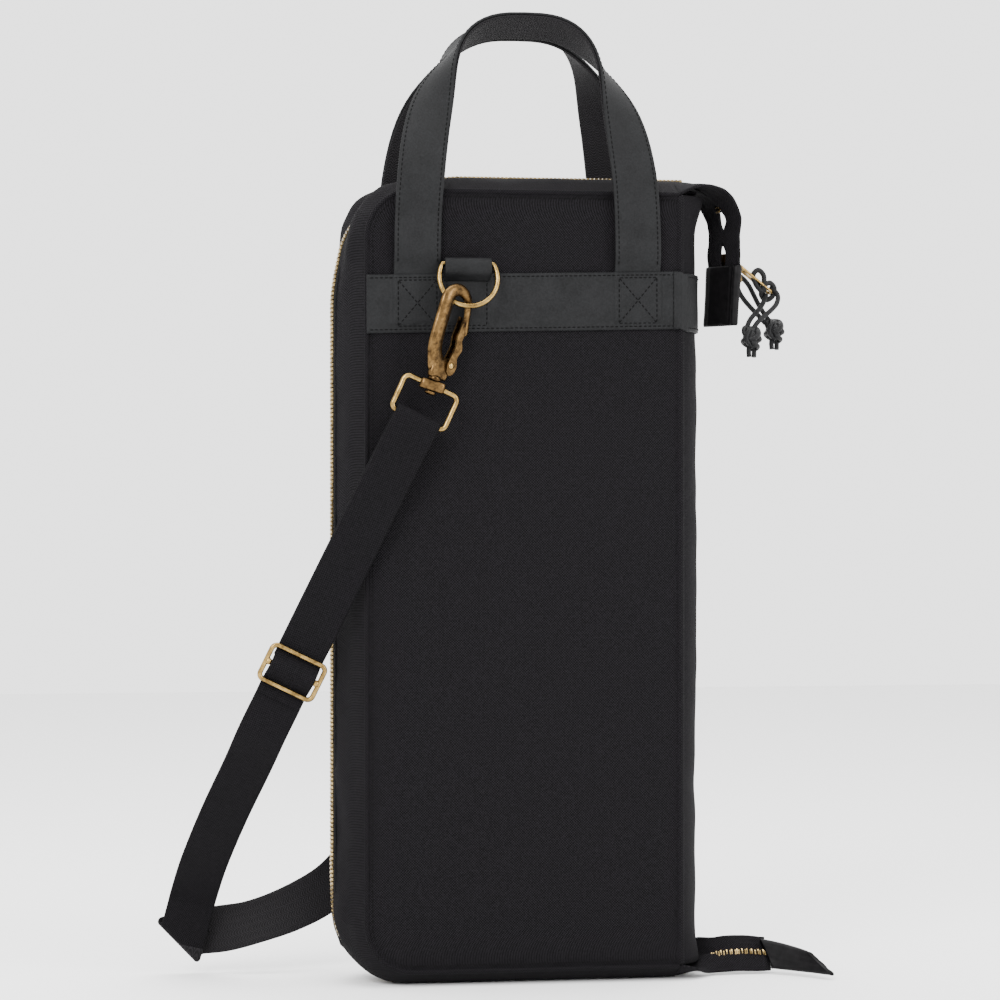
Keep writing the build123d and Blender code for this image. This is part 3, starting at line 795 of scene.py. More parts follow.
rings = [[spine_point(-1 + m / 13, 8.5 + 461 * k / 130) for m in range(27)] for k in range(131)]
spine_cloth = cloth("spine_cloth", rings, CANVAS, "canvas", 1.3)
ride(spine_cloth, "spine", "spine_panel")
for label, z in (("bottom", 8.6), ("top", 469.4)):
    rise = 1.2 if label == "top" else -1.2
    rings = []
    for k in range(9):
        squeeze = 1 - k / 8 * 0.97
        level = z + rise * math.sin(math.pi / 2 * k / 8)
        ring = []
        for m in range(27):
            rim = spine_point(-1 + m / 13, z) / MM
            ring.append(Vector((AXIS_X + 30 + (rim.x - AXIS_X - 30) * squeeze, rim.y * squeeze, level)) * MM)
        rings.append(ring)
    ride(cloth(f"spine_{label}_cloth", rings, CANVAS, "canvas", 1.2), "spine")
for label, turn in (("front", -0.985), ("rear", 0.985)):
    path = [spine_point(turn, 8 + 462 * k / 150, 0.6) for k in range(151)]
    ride(swept(f"spine_{label}_crease", path, oval(0.9, 1.2), CANVAS, "canvas"), "spine")
    way = math.copysign(1.0, turn)
    rows = []
    for k in range(121):
        z = 9 + 460 * k / 120
        arc = [
            (90.4, 31.4), (91.6, 32.0), (92.6, 32.6), (93.4, 32.7), (94.2, 32.2), (95.0, 31.4), (95.8, 30.4)
        ]
        rows.append([Vector((x, way * y, z)) * MM for x, y in arc])
    bend = cloth(f"{label}_crease_cloth", rows, CANVAS, "canvas", 1.0)
    crease_bend(bend)


# ---- Zip: tapes and interleaved brass teeth round three sides ----
TOOTH_PITCH = 2.5


def along_outline(points, normals, pitch, start=0.0):
    """Places at an even pitch along an outline: point, way along, way out."""
    path = [Vector((x, 0, z)) for x, z in points]
    places, travelled, target = [], 0.0, start
    for n in range(len(path) - 1):
        step = (path[n + 1] - path[n]).length
        while target <= travelled + step:
            t = (target - travelled) / step
            (ax, az), (bx, bz) = normals[n], normals[n + 1]
            out = Vector((ax, 0, az)).lerp(Vector((bx, 0, bz)), t).normalized()
            places.append((path[n].lerp(path[n + 1], t), (path[n + 1] - path[n]).normalized(), out))
            target += pitch
        travelled += step
    return places


# A tooth from its root to its head: share of its reach, of its length and of its height; then its outline
TOOTH = ((0.0, 0.62, 0.72), (0.35, 0.62, 0.92), (0.62, 0.5, 1.0), (0.86, 0.58, 0.92), (1.0, 0.4, 0.6))
OCTAGON = ((1, 0.55), (0.55, 1), (-0.55, 1), (-1, 0.55), (-1, -0.55), (-0.55, -1), (0.55, -1), (1, -0.55))


def tooth_block(verts, faces, uvs, middle, way, out, across, size):
    """One stamped tooth: a block that narrows to a rounded head over the zip's middle."""
    long, tall, head = size
    base = len(verts)
    for depth, wide, high in TOOTH:
        for x, y in OCTAGON:
            verts.append(middle + across * (head * depth) + way * (x * wide * long) + out * (y * high * tall))
            uvs.append((x * long, y * tall))
    faces += tube_faces(base, len(TOOTH), len(OCTAGON))


for side, facing, shift in SIDES:
    points, normals = outline(EDGE, 1.7, right=100.0, counts=(60, 20, 120))
    verts, faces, uvs = [], [], []
    for place, way, out in along_outline(
        points, normals, TOOTH_PITCH, 0.0 if facing < 0 else TOOTH_PITCH / 2
    ):
        lift = 1.9 * smooth_step((place.z - 8) / 60)
        lift -= CORNER_PULL * corner_near(place.x, place.z)
        tooth_block(
            verts, faces, uvs, (place + out * lift + Vector((0, facing * 4.4, 0))) * MM, way, out,
            Vector((0, -facing, 0)), (1.45 * MM, 1.8 * MM, 5.4 * MM)
        )
    teeth = outward(add(f"{side}_teeth", verts, faces, uvs, TEETH, "zip_teeth", smooth=False))
    ride(teeth, f"{side}_half", f"{side}_zip_teeth")
    rings = []
    for depth, inset in ((8.6, 1.9), (6.4, 1.2), (4.4, 1.5), (2.2, 1.9), (1.0, 2.2)):
        ring = []
        for (x, z), (nx, nz) in zip(*outline(EDGE, inset, right=100.0)):
            rise = 1.2 * smooth_step((z - 8) / 60) * (1 if z < 470 else 0.35)
            lift = rise - CORNER_PULL * corner_near(x, z)
            ring.append(Vector((x + nx * lift, facing * depth, z + nz * lift)) * MM)
        rings.append(ring)
    ride(cloth(f"{side}_tape", rings, TAPE, "zip_tape", 0.7), f"{side}_half", f"{side}_zip_tape")
    # The gusset's folded hem beside the tape
    points, normals = outline(EDGE, 0.6)
    path = []
    for (x, z), (nx, nz) in zip(points, normals):
        pull = CORNER_PULL * corner_near(x, z)
        path.append(Vector((x - nx * pull, facing * 5.6, max(z - nz * pull, 1.2))) * MM)
    ride(
        swept(
            f"{side}_gusset_hem", path, oval(1.0, 0.8), CANVAS, "canvas",
            wide=[Vector((0, 1, 0))] * len(path)
        ),
        f"{side}_half"
    )


# ---- Leather band, raised where the handles and the ring's tab run under it ----
BAND_LOW, BAND_HIGH = 388.0, 423.0
REACH_X = 66.5


def slant(x, facing):
    """The band is sewn on a little aslant."""
    return -1.0 + 0.022 * x if facing < 0 else 0.0


def band_lift(x, z, shift):
    """How far the band stands out over the straps sewn under it."""
    lift = 0.0
    for middle, half in ((-REACH_X, 13.5), (REACH_X, 13.5), (-37 + shift, 13.5)):
        side_way = smooth_step((half + 2.6 - abs(x - middle)) / 3.2)
        lift = max(lift, 1.7 * side_way * smooth_step((z - 391) / 4))
    return lift + wobble((x, 5, z), 0.05, 0.25)


for side, facing, shift in SIDES:
    rings = []
    tall = BAND_HIGH - BAND_LOW
    for n in range(241):
        x = -96.4 + 187.9 * n / 240
        ring = []
        face = [(BAND_LOW + 0.5 + (tall - 1.0) * m / 22, 1.9) for m in range(23)]
        back = [(BAND_HIGH - 0.1, 0.95), (BAND_HIGH - 0.3, 0.2)] + [
            (BAND_HIGH - 1 - (tall - 2) * m / 6, 0.0) for m in range(7)
        ] + [(BAND_LOW + 0.3, 0.2), (BAND_LOW + 0.1, 0.95)]
        for z, out in face + back:
            rise = band_lift(x, z, shift)
            depth = PANEL_DEPTH + 0.55 + out + (rise if out > 0.5 else rise * 0.9)
            ring.append(Vector((x, facing * depth, z + slant(x, facing))) * MM)
        rings.append(ring)
    ride(loft(f"{side}_band_leather", rings, LEATHER, "leather"), f"{side}_half", f"{side}_band")

    def on_band(x, z, side_shift=shift, way=facing):
        return Vector((x, way * (PANEL_DEPTH + 2.5 + band_lift(x, z, side_shift)), z + slant(x, way))) * MM

    runs = []
    for z in (BAND_LOW + 2.2, BAND_HIGH - 2.2):
        runs.append(([on_band(-95 + 185 * n / 120, z) for n in range(121)], (0, facing, 0)))
    boxes = [(-REACH_X, 11.5), (REACH_X, 11.5)]
    for middle, half in boxes:
        low, high = BAND_LOW + 4.2, BAND_HIGH - 3.8
        corners = [(middle - half, low), (middle + half, low), (middle + half, high), (middle - half, high)]
        for a, b in ((0, 1), (1, 2), (2, 3), (3, 0), (0, 2), (1, 3)):
            (ax, az), (bx, bz) = corners[a], corners[b]
            line = [on_band(ax + (bx - ax) * n / 14, az + (bz - az) * n / 14) for n in range(15)]
            runs.append((line, (0, facing, 0)))
    left, right, low, high = -37 + shift - 12, -37 + shift + 12, 392, 420
    for ax, az, bx, bz in ((left, low, right, low), (right, low, right, high), (left, high, left, low)):
        line = [on_band(ax + (bx - ax) * n / 12, az + (bz - az) * n / 12) for n in range(13)]
        runs.append((line, (0, facing, 0)))
    runs.append(([on_band(88.6, BAND_LOW + 2.5 + (tall - 5) * n / 10) for n in range(11)], (0, facing, 0)))
    ride(
        stitched(f"{side}_band_stitches", runs, pitch=2.9 * MM, gap=0.7 * MM, thick=0.36 * MM),
        f"{side}_half"
    )

section = [(BAND_LOW + 0.4 + 34.2 * m / 14, 2.6) for m in range(15)]
section += [(BAND_HIGH, 1.6), (BAND_HIGH - 0.3, 0.9)]
section += [(BAND_HIGH - 1 - 33 * m / 5, 0.7) for m in range(6)]
section += [(BAND_LOW + 0.3, 0.9), (BAND_LOW, 1.6)]
rings = []
for k in range(41):
    turn = -1.0 + k / 20
    rings.append([spine_point(turn * 0.92, z, out) for z, out in section])
ride(loft("spine_band_leather", rings, LEATHER, "leather"), "spine", "spine_band")
ON_HALF = ((88.6, 34.7), (90.2, 34.75), (91.8, 34.7), (93.2, 34.4))
ON_SPINE = ((0.99, 1.9), (0.95, 2.2), (0.91, 2.4), (0.87, 2.5))
for side, facing, shift in SIDES:
    rows = []
    for k in range(25):
        z = BAND_LOW + 0.5 + 34 * k / 24
        row = [Vector((x, facing * y, z + slant(x, facing))) * MM for x, y in ON_HALF]
        row += [spine_point(facing * turn, z + slant(60, facing) * 0.4, grow) for turn, grow in ON_SPINE]
        rows.append(row)
    bend = cloth(f"{side}_band_bend", rows, LEATHER, "leather", 1.3)
    crease_bend(bend)
turns = [-0.88 + 1.76 * k / 40 for k in range(41)]
outward_ways = [Vector((math.cos(SWEEP * turn), math.sin(SWEEP * turn), 0)) for turn in turns]
runs = []
for z in (BAND_LOW + 2.2, BAND_HIGH - 2.2):
    runs.append(([spine_point(turn, z, 2.75) for turn in turns], outward_ways))
ride(stitched("spine_band_stitches", runs, pitch=2.9 * MM, gap=0.7 * MM, thick=0.36 * MM), "spine")


# ---- Carrying handles: leather over webbing, flat at the roots and edge-on over the arch ----
HANDLE_ROOT, HANDLE_TOP, HANDLE_DEPTH, TILT = 434.0, 571.0, 36.2, math.radians(24)


def handle_point(turn):
    across = REACH_X * math.copysign(abs(math.cos(turn)) ** (2 / 3), math.cos(turn))
    return across, (HANDLE_TOP - HANDLE_ROOT) * math.sin(turn) ** 0.95


def handle_frames(facing):
    """Places along a handle, from below one root to below the other: point, width and outward face."""
    places = []
    steps = 56
    for n in range(steps + 1):
        turn = math.pi * n / steps
        spots = []
        for t in (max(turn - 0.02, 0), min(turn + 0.02, math.pi), turn):
            across, up = handle_point(t)
            lean = 20 * (max(0, up - 42) / (HANDLE_TOP - HANDLE_ROOT - 42)) ** 1.2
            spots.append(Vector((across, facing * (HANDLE_DEPTH - lean), HANDLE_ROOT + up)))
        along = (spots[1] - spots[0]).normalized()
        twist = math.sin(turn) ** 2
        out = Vector((0, facing, 0)) * (1 - twist)
        out += Vector((math.cos(turn), -facing * math.sin(TILT), math.sin(turn))) * twist
        wide = out.cross(along).normalized()
        places.append((spots[2], wide, along.cross(wide).normalized()))
    for end, x in ((0, REACH_X), (-1, -REACH_X)):
        face = places[end][2]
        wide = places[end][1]
        extra = []
        for z, depth in ((430.5, 35.9), (427, 35.3), (423, 34.6), (414, 34.1), (402, 34.0), (394, 34.0)):
            extra.append((Vector((x, facing * depth, z)), wide, face))
        places = extra[::-1] + places if end == 0 else places + extra
    return places


for side, facing, shift in SIDES:
    places = handle_frames(facing)
    for kind, finish, slot, lift, thick, wide_mm in (
        ("leather", LEATHER, "leather", 0.95, 1.7, 28.0),
        ("webbing", WEBBING, "handle_webbing", -0.85, 1.5, 27.2)
    ):
        path, wide = [], []
        for point, across, face in places:
            under = 0.35 if point.z < 428 else 1.0
            path.append((point + face * lift * under) * MM)
            wide.append(across)
        shape = [(x * MM, y * MM) for x, y in strap_section(wide_mm, thick)]
        strip = swept(f"{side}_handle_{kind}_strip", path, shape, finish, slot, wide=wide)
        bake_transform(strip)
        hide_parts(f"{side}_handle_{kind}")
        if kind == "leather":
            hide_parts(f"{side}_handle_roots")
    runs = []
    for sign in (-1, 1):
        pts, ups = [], []
        for point, across, face in places:
            if point.z > 424:
                pts.append((point + face * 1.85 + across * sign * 11.8) * MM)
                ups.append(face)
        runs.append((pts, ups))
    threads = stitched(f"{side}_handle_stitches", runs, pitch=3.0 * MM, gap=0.7 * MM, thick=0.34 * MM)
    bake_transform(threads)


# ---- Ring, tab, snap hook, swivel and square loop on each half ----
RING_WIRE, LOOP_WIRE, GLIDE_WIRE = 1.55, 1.6, 1.5
RING_X, RING_DEPTH, RING_Z, RING_RADIUS, RING_DROP, RING_SWING = -37, 40.5, 426.3, 17.4, 8.4, math.radians(13)
HOOK_X, HOOK_DEPTH, HOOK_Z = -59.3, 46.5, 354.1
HOOK_LEAN, HOOK_TURN, LOOP_LEAN = math.radians(17.3), math.radians(33), math.radians(24.5)
LOOP_UP = Vector((math.sin(LOOP_LEAN), 0, math.cos(LOOP_LEAN)))
LOOP_TALL, LOOP_WIDE = 21.5, 34.1


def at(plane, x, y, out=0.0):
    """A point of a hook or loop plane, in metres."""
    origin, along, up, normal = plane
    return (origin + along * x + up * y + normal * out) * MM


for side, facing, shift in SIDES:
    # Tab: a leather strap that comes up from under the band, over the ring's bar and back down
    path = [(34.6, 400), (34.6, 412), (34.7, 420)]
    path += [(37.2, 424)] + [
        (RING_DEPTH - 2.9 * math.cos(math.radians(t)), RING_Z + 2.9 * math.sin(math.radians(t)))
        for t in range(0, 181, 20)
    ]
    path += [(43.3, 424), (42.4, 421), (39.4, 418.6), (36.8, 417)]
    spots = curve_points([(RING_X + shift, facing * y, z) for y, z in path], 3)
    section = [(x * MM, y * MM) for x, y in strap_section(28, 1.5)]
    across = [Vector((1, 0, 0))] * len(spots)
    tab = swept(f"{side}_tab_leather", metres(spots), section, LEATHER, "leather", wide=across)
    ride(tab, f"{side}_half", f"{side}_ring_tab")

    # Ring
    centre = Vector((RING_X + shift, facing * RING_DEPTH, RING_Z))
    down = Vector((0, facing * math.sin(RING_SWING), -math.cos(RING_SWING)))
    bow = []
    for n in range(61):
        a = math.radians(-28.9 + 237.8 * n / 60)
        bow.append(
            centre + Vector((RING_RADIUS * math.cos(a), 0, 0))
            + down * (RING_DROP + RING_RADIUS * math.sin(a))
        )
    corner_left, corner_right = bow[-1], bow[0]
    bar = [corner_left + (corner_right - corner_left) * n / 12 for n in range(1, 12)]
    ring_path = bow + bar
    ride(
        swept(f"{side}_ring", metres(ring_path), disc(RING_WIRE * MM, 14), BRIGHT, "brass", looped=True),
        f"{side}_ring", f"{side}_d_ring"
    )

    # Hook body: a cast bar that rises from the collar, over the crook and down to the nose
    up = Vector((math.sin(HOOK_LEAN), 0, math.cos(HOOK_LEAN)))
    block_across = Vector((math.cos(HOOK_LEAN), 0, -math.sin(HOOK_LEAN)))
    spin = block_across * math.cos(HOOK_TURN) - Vector((0, facing * math.sin(HOOK_TURN), 0))
    origin = Vector((HOOK_X + shift, facing * HOOK_DEPTH, HOOK_Z))
    plane = (origin, spin, up, spin.cross(up))
    line = [
        (-1.6, 11, 12.0, 1.35), (-4.4, 16.5, 11.4, 1.9), (-7.0, 22, 10.2, 2.6), (-8.0, 30, 9.6, 2.9),
        (-8.2, 40, 9.6, 2.9), (-8.35, 49.5, 9.7, 2.9)
    ]
    for degrees in range(165, -1, -15):
        a = math.radians(degrees)
        t = (180 - degrees) / 180
        x, y = -1 + 0.8 * t + (7.5 + 1.7 * t) * math.cos(a), 49.8 + 8.7 * math.sin(a)
        line.append((x, y, 9.7 - 4.9 * t, 2.9 - 1.1 * t))
    line += [(10.2, 45, 4.5, 1.5), (11.4, 40.5, 4.3, 1.3), (12.4, 36.8, 4.0, 1.25), (12.9, 34.2, 2.2, 0.7)]
    smooth = curve_points([(x, y, 0) for x, y, w, d in line], 3)
    sizes = curve_points([(w, d, 0) for x, y, w, d in line], 3)
    rings = []
    for n, (spot, size) in enumerate(zip(smooth, sizes)):
        before, after = smooth[max(n - 1, 0)], smooth[min(n + 1, len(smooth) - 1)]
        way = (after - before).normalized()
        cross = Vector((way.y, -way.x, 0))
        ring = []
        for c, o in (
            (1, 0), (0.86, 0.5), (0.5, 0.82), (0.12, 1.0), (-0.12, 1.0), (-0.5, 0.82), (-0.86, 0.5),
            (-1, 0), (-0.86, -0.5), (-0.5, -0.82), (0, -0.92), (0.5, -0.82), (0.86, -0.5)
        ):
            p = spot + cross * (c * size.x / 2)
            ring.append(at(plane, p.x, p.y, o * size.y))
        rings.append(ring)
    body = loft(f"{side}_hook_body", rings, BRASS, "brass")
    collar = []
    for z, w, d in (
        (4.8, 11.5, 3.0), (5.6, 13.4, 4.6), (8.2, 14.2, 5.0), (10.4, 13.0, 4.4), (13.5, 12.0, 2.9),
        (18, 10.5, 2.7)
    ):
        middle = 1.3 if z < 9 else 1.0 if z < 12 else 0.4
        collar.append([at(plane, middle + x, z, y) for x, y in round_rect(w, d, min(w, d) * 0.42, 4)])
    foot = loft(f"{side}_hook_foot", collar, BRASS, "brass")
    ride(joined(f"{side}_hook", [body, foot]), f"{side}_snap", f"{side}_snap_hook")

    # Gate: a bent sheet lever, with a thumb wave, that pivots on the rivet
    cheek = [
        (4.7, 10.6), (7.4, 8.6), (10.2, 10.4), (11.2, 15), (9.8, 20), (11.6, 25.5), (9.6, 30.5), (10.4, 35),
        (9.0, 39), (8.6, 44.2)
    ]
    inner = [(6.2, 44.2), (6.0, 38), (5.4, 32), (6.4, 26), (5.2, 20), (4.2, 15)]
    outer_line = curve_points([(x, y, 0) for x, y in cheek], 3)
    inner_line = curve_points([(x, y, 0) for x, y in inner], 3)
    sheets = []
    for low, high in ((-2.9, -1.7), (1.7, 2.9)):
        border = outer_line + inner_line
        verts = [at(plane, p.x, p.y, low) for p in border] + [at(plane, p.x, p.y, high) for p in border]
        count = len(border)
        faces = [tuple(reversed(range(count))), tuple(range(count, 2 * count))] + [
            (n, (n + 1) % count, count + (n + 1) % count, count + n) for n in range(count)
        ]
        sheets.append(
            creased(outward(add(f"{side}_gate_cheek", verts, faces, [(0, 0)] * len(verts), BRASS, "brass")))
        )
    face_line = [p for p in outer_line if 17 < p.y < 43.5]
    rings = []
    for p in face_line:
        rings.append(
            [
                at(plane, p.x - 1.0, p.y, -2.0), at(plane, p.x + 0.1, p.y, -2.0),
                at(plane, p.x + 0.35, p.y, 0), at(plane, p.x + 0.1, p.y, 2.0),
                at(plane, p.x - 1.0, p.y, 2.0), at(plane, p.x - 0.9, p.y, 0)
            ]
        )
    sheets.append(loft(f"{side}_gate_face", rings, BRASS, "brass"))
    ride(joined(f"{side}_gate_lever", sheets), f"{side}_gate", f"{side}_snap_gate")

    # Rivet with domed heads, and the swivel's stem with its head under the loop's block
    rings = []
    for out, r in (
        (-3.9, 0.3), (-3.75, 1.4), (-3.3, 1.95), (-2.95, 2.05), (-2.9, 1.2), (2.9, 1.2), (2.95, 2.05),
        (3.3, 1.95), (3.75, 1.4), (3.9, 0.3)
    ):
        rings.append(
            [
                at(
                    plane, 7.2 + r * math.cos(2 * math.pi * m / 18),
                    14.5 + r * math.sin(2 * math.pi * m / 18), out
                )
                for m in range(18)
            ]
        )
    ride(loft(f"{side}_rivet", rings, BRIGHT, "brass"), f"{side}_snap", f"{side}_gate_rivet")
    rings = []
    sideways = spin.cross(up)
    for z, r in (
        (-5.5, 1.2), (-5.3, 2.9), (-4.6, 3.5), (-3.7, 3.5), (-3.5, 2.0), (3.1, 2.0), (3.3, 3.7), (4.0, 4.1),
        (5.2, 3.9), (5.9, 3.2)
    ):
        ring = []
        for m in range(20):
            a = 2 * math.pi * m / 20
            ring.append((origin + up * z + (spin * math.cos(a) + sideways * math.sin(a)) * r) * MM)
        rings.append(ring)
    ride(loft(f"{side}_stem", rings, BRASS, "brass"), f"{side}_snap", f"{side}_swivel_stem")

    # Square loop with its block
    loop_across = Vector((math.cos(LOOP_LEAN), 0, -math.sin(LOOP_LEAN)))
    loop_middle = origin - LOOP_UP * (LOOP_TALL / 2)
    loop_path = wire_frame(loop_middle, loop_across, LOOP_UP, LOOP_WIDE / 2, LOOP_TALL / 2, 3.4)
    wire = swept(f"{side}_loop_wire", loop_path, disc(LOOP_WIRE * MM, 14), BRIGHT, "brass", looped=True)
    block_out = block_across.cross(up)
    rings = []
    for z, grow in ((-3.0, -1.0), (-2.5, -0.1), (-1.4, 0.2), (1.4, 0.2), (2.5, -0.1), (3.0, -1.0)):
        rings.append(
            [
                (origin + up * z + block_across * x + block_out * y) * MM for x,
                y in round_rect(15.2 + grow, 6.6 + grow, 2.4, 4)
            ]
        )
    block = loft(f"{side}_loop_block", rings, BRASS, "brass")
    ride(joined(f"{side}_loop", [wire, block]), f"{side}_half", f"{side}_strap_loop")


# ---- Shoulder strap ----
front_bar = Vector((HOOK_X, -HOOK_DEPTH, HOOK_Z)) - LOOP_UP * LOOP_TALL
glide_point = Vector((-140.5, -34, 186))
run_length = (glide_point - front_bar).length
run_way = (glide_point - front_bar).normalized()
run_across = Vector((0, -1, 0)).cross(run_way).normalized()
run_face = run_across.cross(run_way)
STRAP_SHAPE = [(x * MM, y * MM) for x, y in strap_section(28.4, 1.6, 14)]


def on_run(down, back):
    return front_bar + run_way * down + run_face * back


def strap_piece(name, points, wide, body, *nodes, finish=STRAP):
    """A length of webbing through the points, wide giving its width's direction at each."""
    path = curve_points(points, 4)
    widths = curve_points(wide, 4)
    obj = swept(name, metres(path), STRAP_SHAPE, finish, "webbing", wide=[w.normalized() for w in widths])
    return ride(obj, body, *nodes)


# A strap turns round a loop's bar at this radius
fold = 3.1
bar_roll = [(-fold * math.sin(math.radians(t)), fold * math.cos(math.radians(t))) for t in range(0, 181, 30)]
double_path = [
    (run_length - 5, 3.8), (run_length - 14, 4.2), (run_length - 60, 4.6), (70, 4.0), (24, 4.2), (8, 3.4)
]
double_path += bar_roll
double_path += [
    (8, -2.6), (24, -1), (70, -0.2), (run_length - 60, 0.6), (run_length - 26, 0.2),
    (run_length - 10.9, 1.8)
]
double_path += [
    (run_length - 5, -1.4), (run_length, -3.7), (run_length + 5, -1.4), (run_length + 10.9, 1.8),
    (run_length + 20, 0.6)
]
spots = [on_run(down, back) for down, back in double_path]
strap_piece("strap_double_web", spots, [run_across] * len(spots), "front_half", "strap_double")

# Below the tri-glide the strap hangs in a slack bow, then rolls over a slanted fold on the floor
HANG = Vector((-0.24, 0.16, -0.957)).normalized()
FOLD_AT = Vector((-199.0, 44.0, 20.5))
FOLD_WIDE = Vector((0.965, 0.03, -0.24))
FOLD_WIDE = (FOLD_WIDE - HANG * FOLD_WIDE.dot(HANG)).normalized()
FOLD_BACK = -HANG.cross(FOLD_WIDE)
FOLD_TURN = math.radians(33)
FOLD_LINE = FOLD_WIDE * math.cos(FOLD_TURN) + HANG * math.sin(FOLD_TURN)
FOLD_AWAY = HANG * math.cos(FOLD_TURN) - FOLD_WIDE * math.sin(FOLD_TURN)
ROLL = 3.4
SLIP = 7.0


def folded(down, across, out):
    """Where a spot of the strap goes: down its length, across it and out of its face, over the fold."""
    flat = HANG * down + FOLD_WIDE * across
    along, beyond = flat.dot(FOLD_LINE), flat.dot(FOLD_AWAY)
    turn = min(max(beyond / ROLL, 0.0), math.pi)
    if beyond <= 0:
        away, back = beyond, 0.0
    elif turn < math.pi:
        away, back = ROLL * math.sin(turn), ROLL * (1 - math.cos(turn))
    else:
        away, back = -(beyond - math.pi * ROLL), 2 * ROLL
    face = FOLD_AWAY * math.sin(turn) - FOLD_BACK * math.cos(turn)
    along -= SLIP * smooth_step(turn / math.pi)
    return FOLD_AT + FOLD_LINE * along + FOLD_AWAY * away + FOLD_BACK * back + face * out


def swept_rings(points, wide, steps):
    path = curve_points(points, steps)
    widths = [w.normalized() for w in curve_points(wide, steps)]
    rings = []
    for point, way, side in zip(path, directions(path), widths):
        side = (side - way * side.dot(way)).normalized()
        up = way.cross(side)
        rings.append([(point + side * x / MM + up * y / MM) * MM for x, y in STRAP_SHAPE])
    return rings


def fold_rings(start, end, count):
    return [
        [folded(start + (end - start) * n / count, x / MM, y / MM) * MM for x, y in STRAP_SHAPE]
        for n in range(count + 1)
    ]


lower_points = [
    on_run(run_length + 19.5, 0.6), on_run(run_length + 40, 0.3), Vector((-165, -15, 130)),
    Vector((-177, 3, 100)), Vector((-187, 23, 70)), FOLD_AT - HANG * 30, FOLD_AT - HANG * 22
]
lower_wide = [
    run_across, run_across, Vector((0.93, 0.03, -0.36)), Vector((0.945, 0.04, -0.32)),
    Vector((0.955, 0.04, -0.28)), FOLD_WIDE, FOLD_WIDE
]
lower_wide = [-w if w.dot(FOLD_WIDE) < 0 else w for w in lower_wide]
lower_rings = swept_rings(lower_points, lower_wide, 6) + fold_rings(-20.5, 3, 26)
ride(loft("strap_lower_web", lower_rings, STRAP, "webbing"), "front_half", "strap_lower")
turned = fold_rings(3, 21, 20)
leave = sum(turned[-1], Vector()) / len(turned[-1]) / MM
leave_way = (leave - sum(turned[-2], Vector()) / len(turned[-2]) / MM).normalized()
leave_wide = (turned[-1][0] - turned[-1][14]).normalized()
rear_points = [
    leave + leave_way * 1.0, leave + leave_way * 5, Vector((-159, 49, 28.5)), Vector((-131, 50, 37.5)),
    Vector((-107, 50.5, 51)), Vector((-88, 50.5, 72)), Vector((-70, 50, 103)), Vector((-51, 49.8, 150)),
    Vector((-36, 49.4, 203)), Vector((-24, 48.8, 255)), Vector((-12.2, 48.2, 296.5))
]
rear_wide = []
for n in range(len(rear_points)):
    before, after = rear_points[max(n - 1, 0)], rear_points[min(n + 1, len(rear_points) - 1)]
    rear_wide.append(Vector((0, -1, 0)).cross((after - before).normalized()).normalized())
if leave_wide.dot(rear_wide[2]) < 0:
    rear_wide = [-w for w in rear_wide]
rear_wide[0] = leave_wide
rear_wide[1] = leave_wide
rear_wide[2] = (rear_wide[2] + Vector((0, 0.5, 0)) * (1 if rear_wide[2].z > 0 else -1)).normalized()
rear_wide[3] = (rear_wide[3] + Vector((0, 0.35, 0)) * (1 if rear_wide[3].z > 0 else -1)).normalized()
ride(
    loft("strap_rear_web", turned + swept_rings(rear_points, rear_wide, 6), WEBBING, "webbing"),
    "rear_half", "strap_rear"
)
rear_bar = Vector((HOOK_X + REAR_SHIFT, HOOK_DEPTH, HOOK_Z)) - LOOP_UP * LOOP_TALL
rear_way = (Vector(rear_points[-1]) - rear_bar).normalized()
rear_across = Vector((0, -1, 0)).cross(rear_way).normalized()
rear_face = rear_across.cross(rear_way)
end_path = [(37, 4.2), (24, 4.2), (8, 3.4)]
end_path += bar_roll
end_path += [(8, -2.6), (24, -1), (39, 0)]
spots = [rear_bar + rear_way * down + rear_face * back for down, back in end_path]
strap_piece(
    "strap_rear_end_web", spots, [rear_across] * len(spots), "rear_half", "strap_rear_end", finish=WEBBING
)

# Tri-glide: a wire frame with a middle bar
origin = on_run(run_length, -1)
frame_path = wire_frame(origin, run_across, run_way, 17.1, 10.9, 3.2)
parts = [swept("glide_wire", frame_path, disc(GLIDE_WIRE * MM, 14), BRIGHT, "brass", looped=True)]
bar = [origin + run_across * (-17.0 + 34.0 * n / 20) for n in range(21)]
parts.append(
    swept("glide_bar", metres(bar), lambda n: disc((1.45 if 1 < n < 19 else 2.1) * MM, 14), BRIGHT, "brass")
)
ride(joined("glide", parts), "glide", "tri_glide")


# ---- Top tail: the zip's two tapes run on past the bag's corner, down into a cap ----
TAIL_NORMAL = Vector((math.sqrt(0.75), 0.5, 0))
TAIL_ACROSS = Vector((0.5, -math.sqrt(0.75), 0))
TAIL_X = 127.0


def gusset_end(v, top, facing):
    """A point of a gusset's end at the spine: v runs from the panel's seam to the zip."""
    a, b, c = shares(v)
    height = (SEAM[2] * a + SHOULDER[2] * b + EDGE[2] * c) if top else max(SEAM[1] * a, 0.9)
    return Vector((92.4, facing * gusset_depth(v), height))


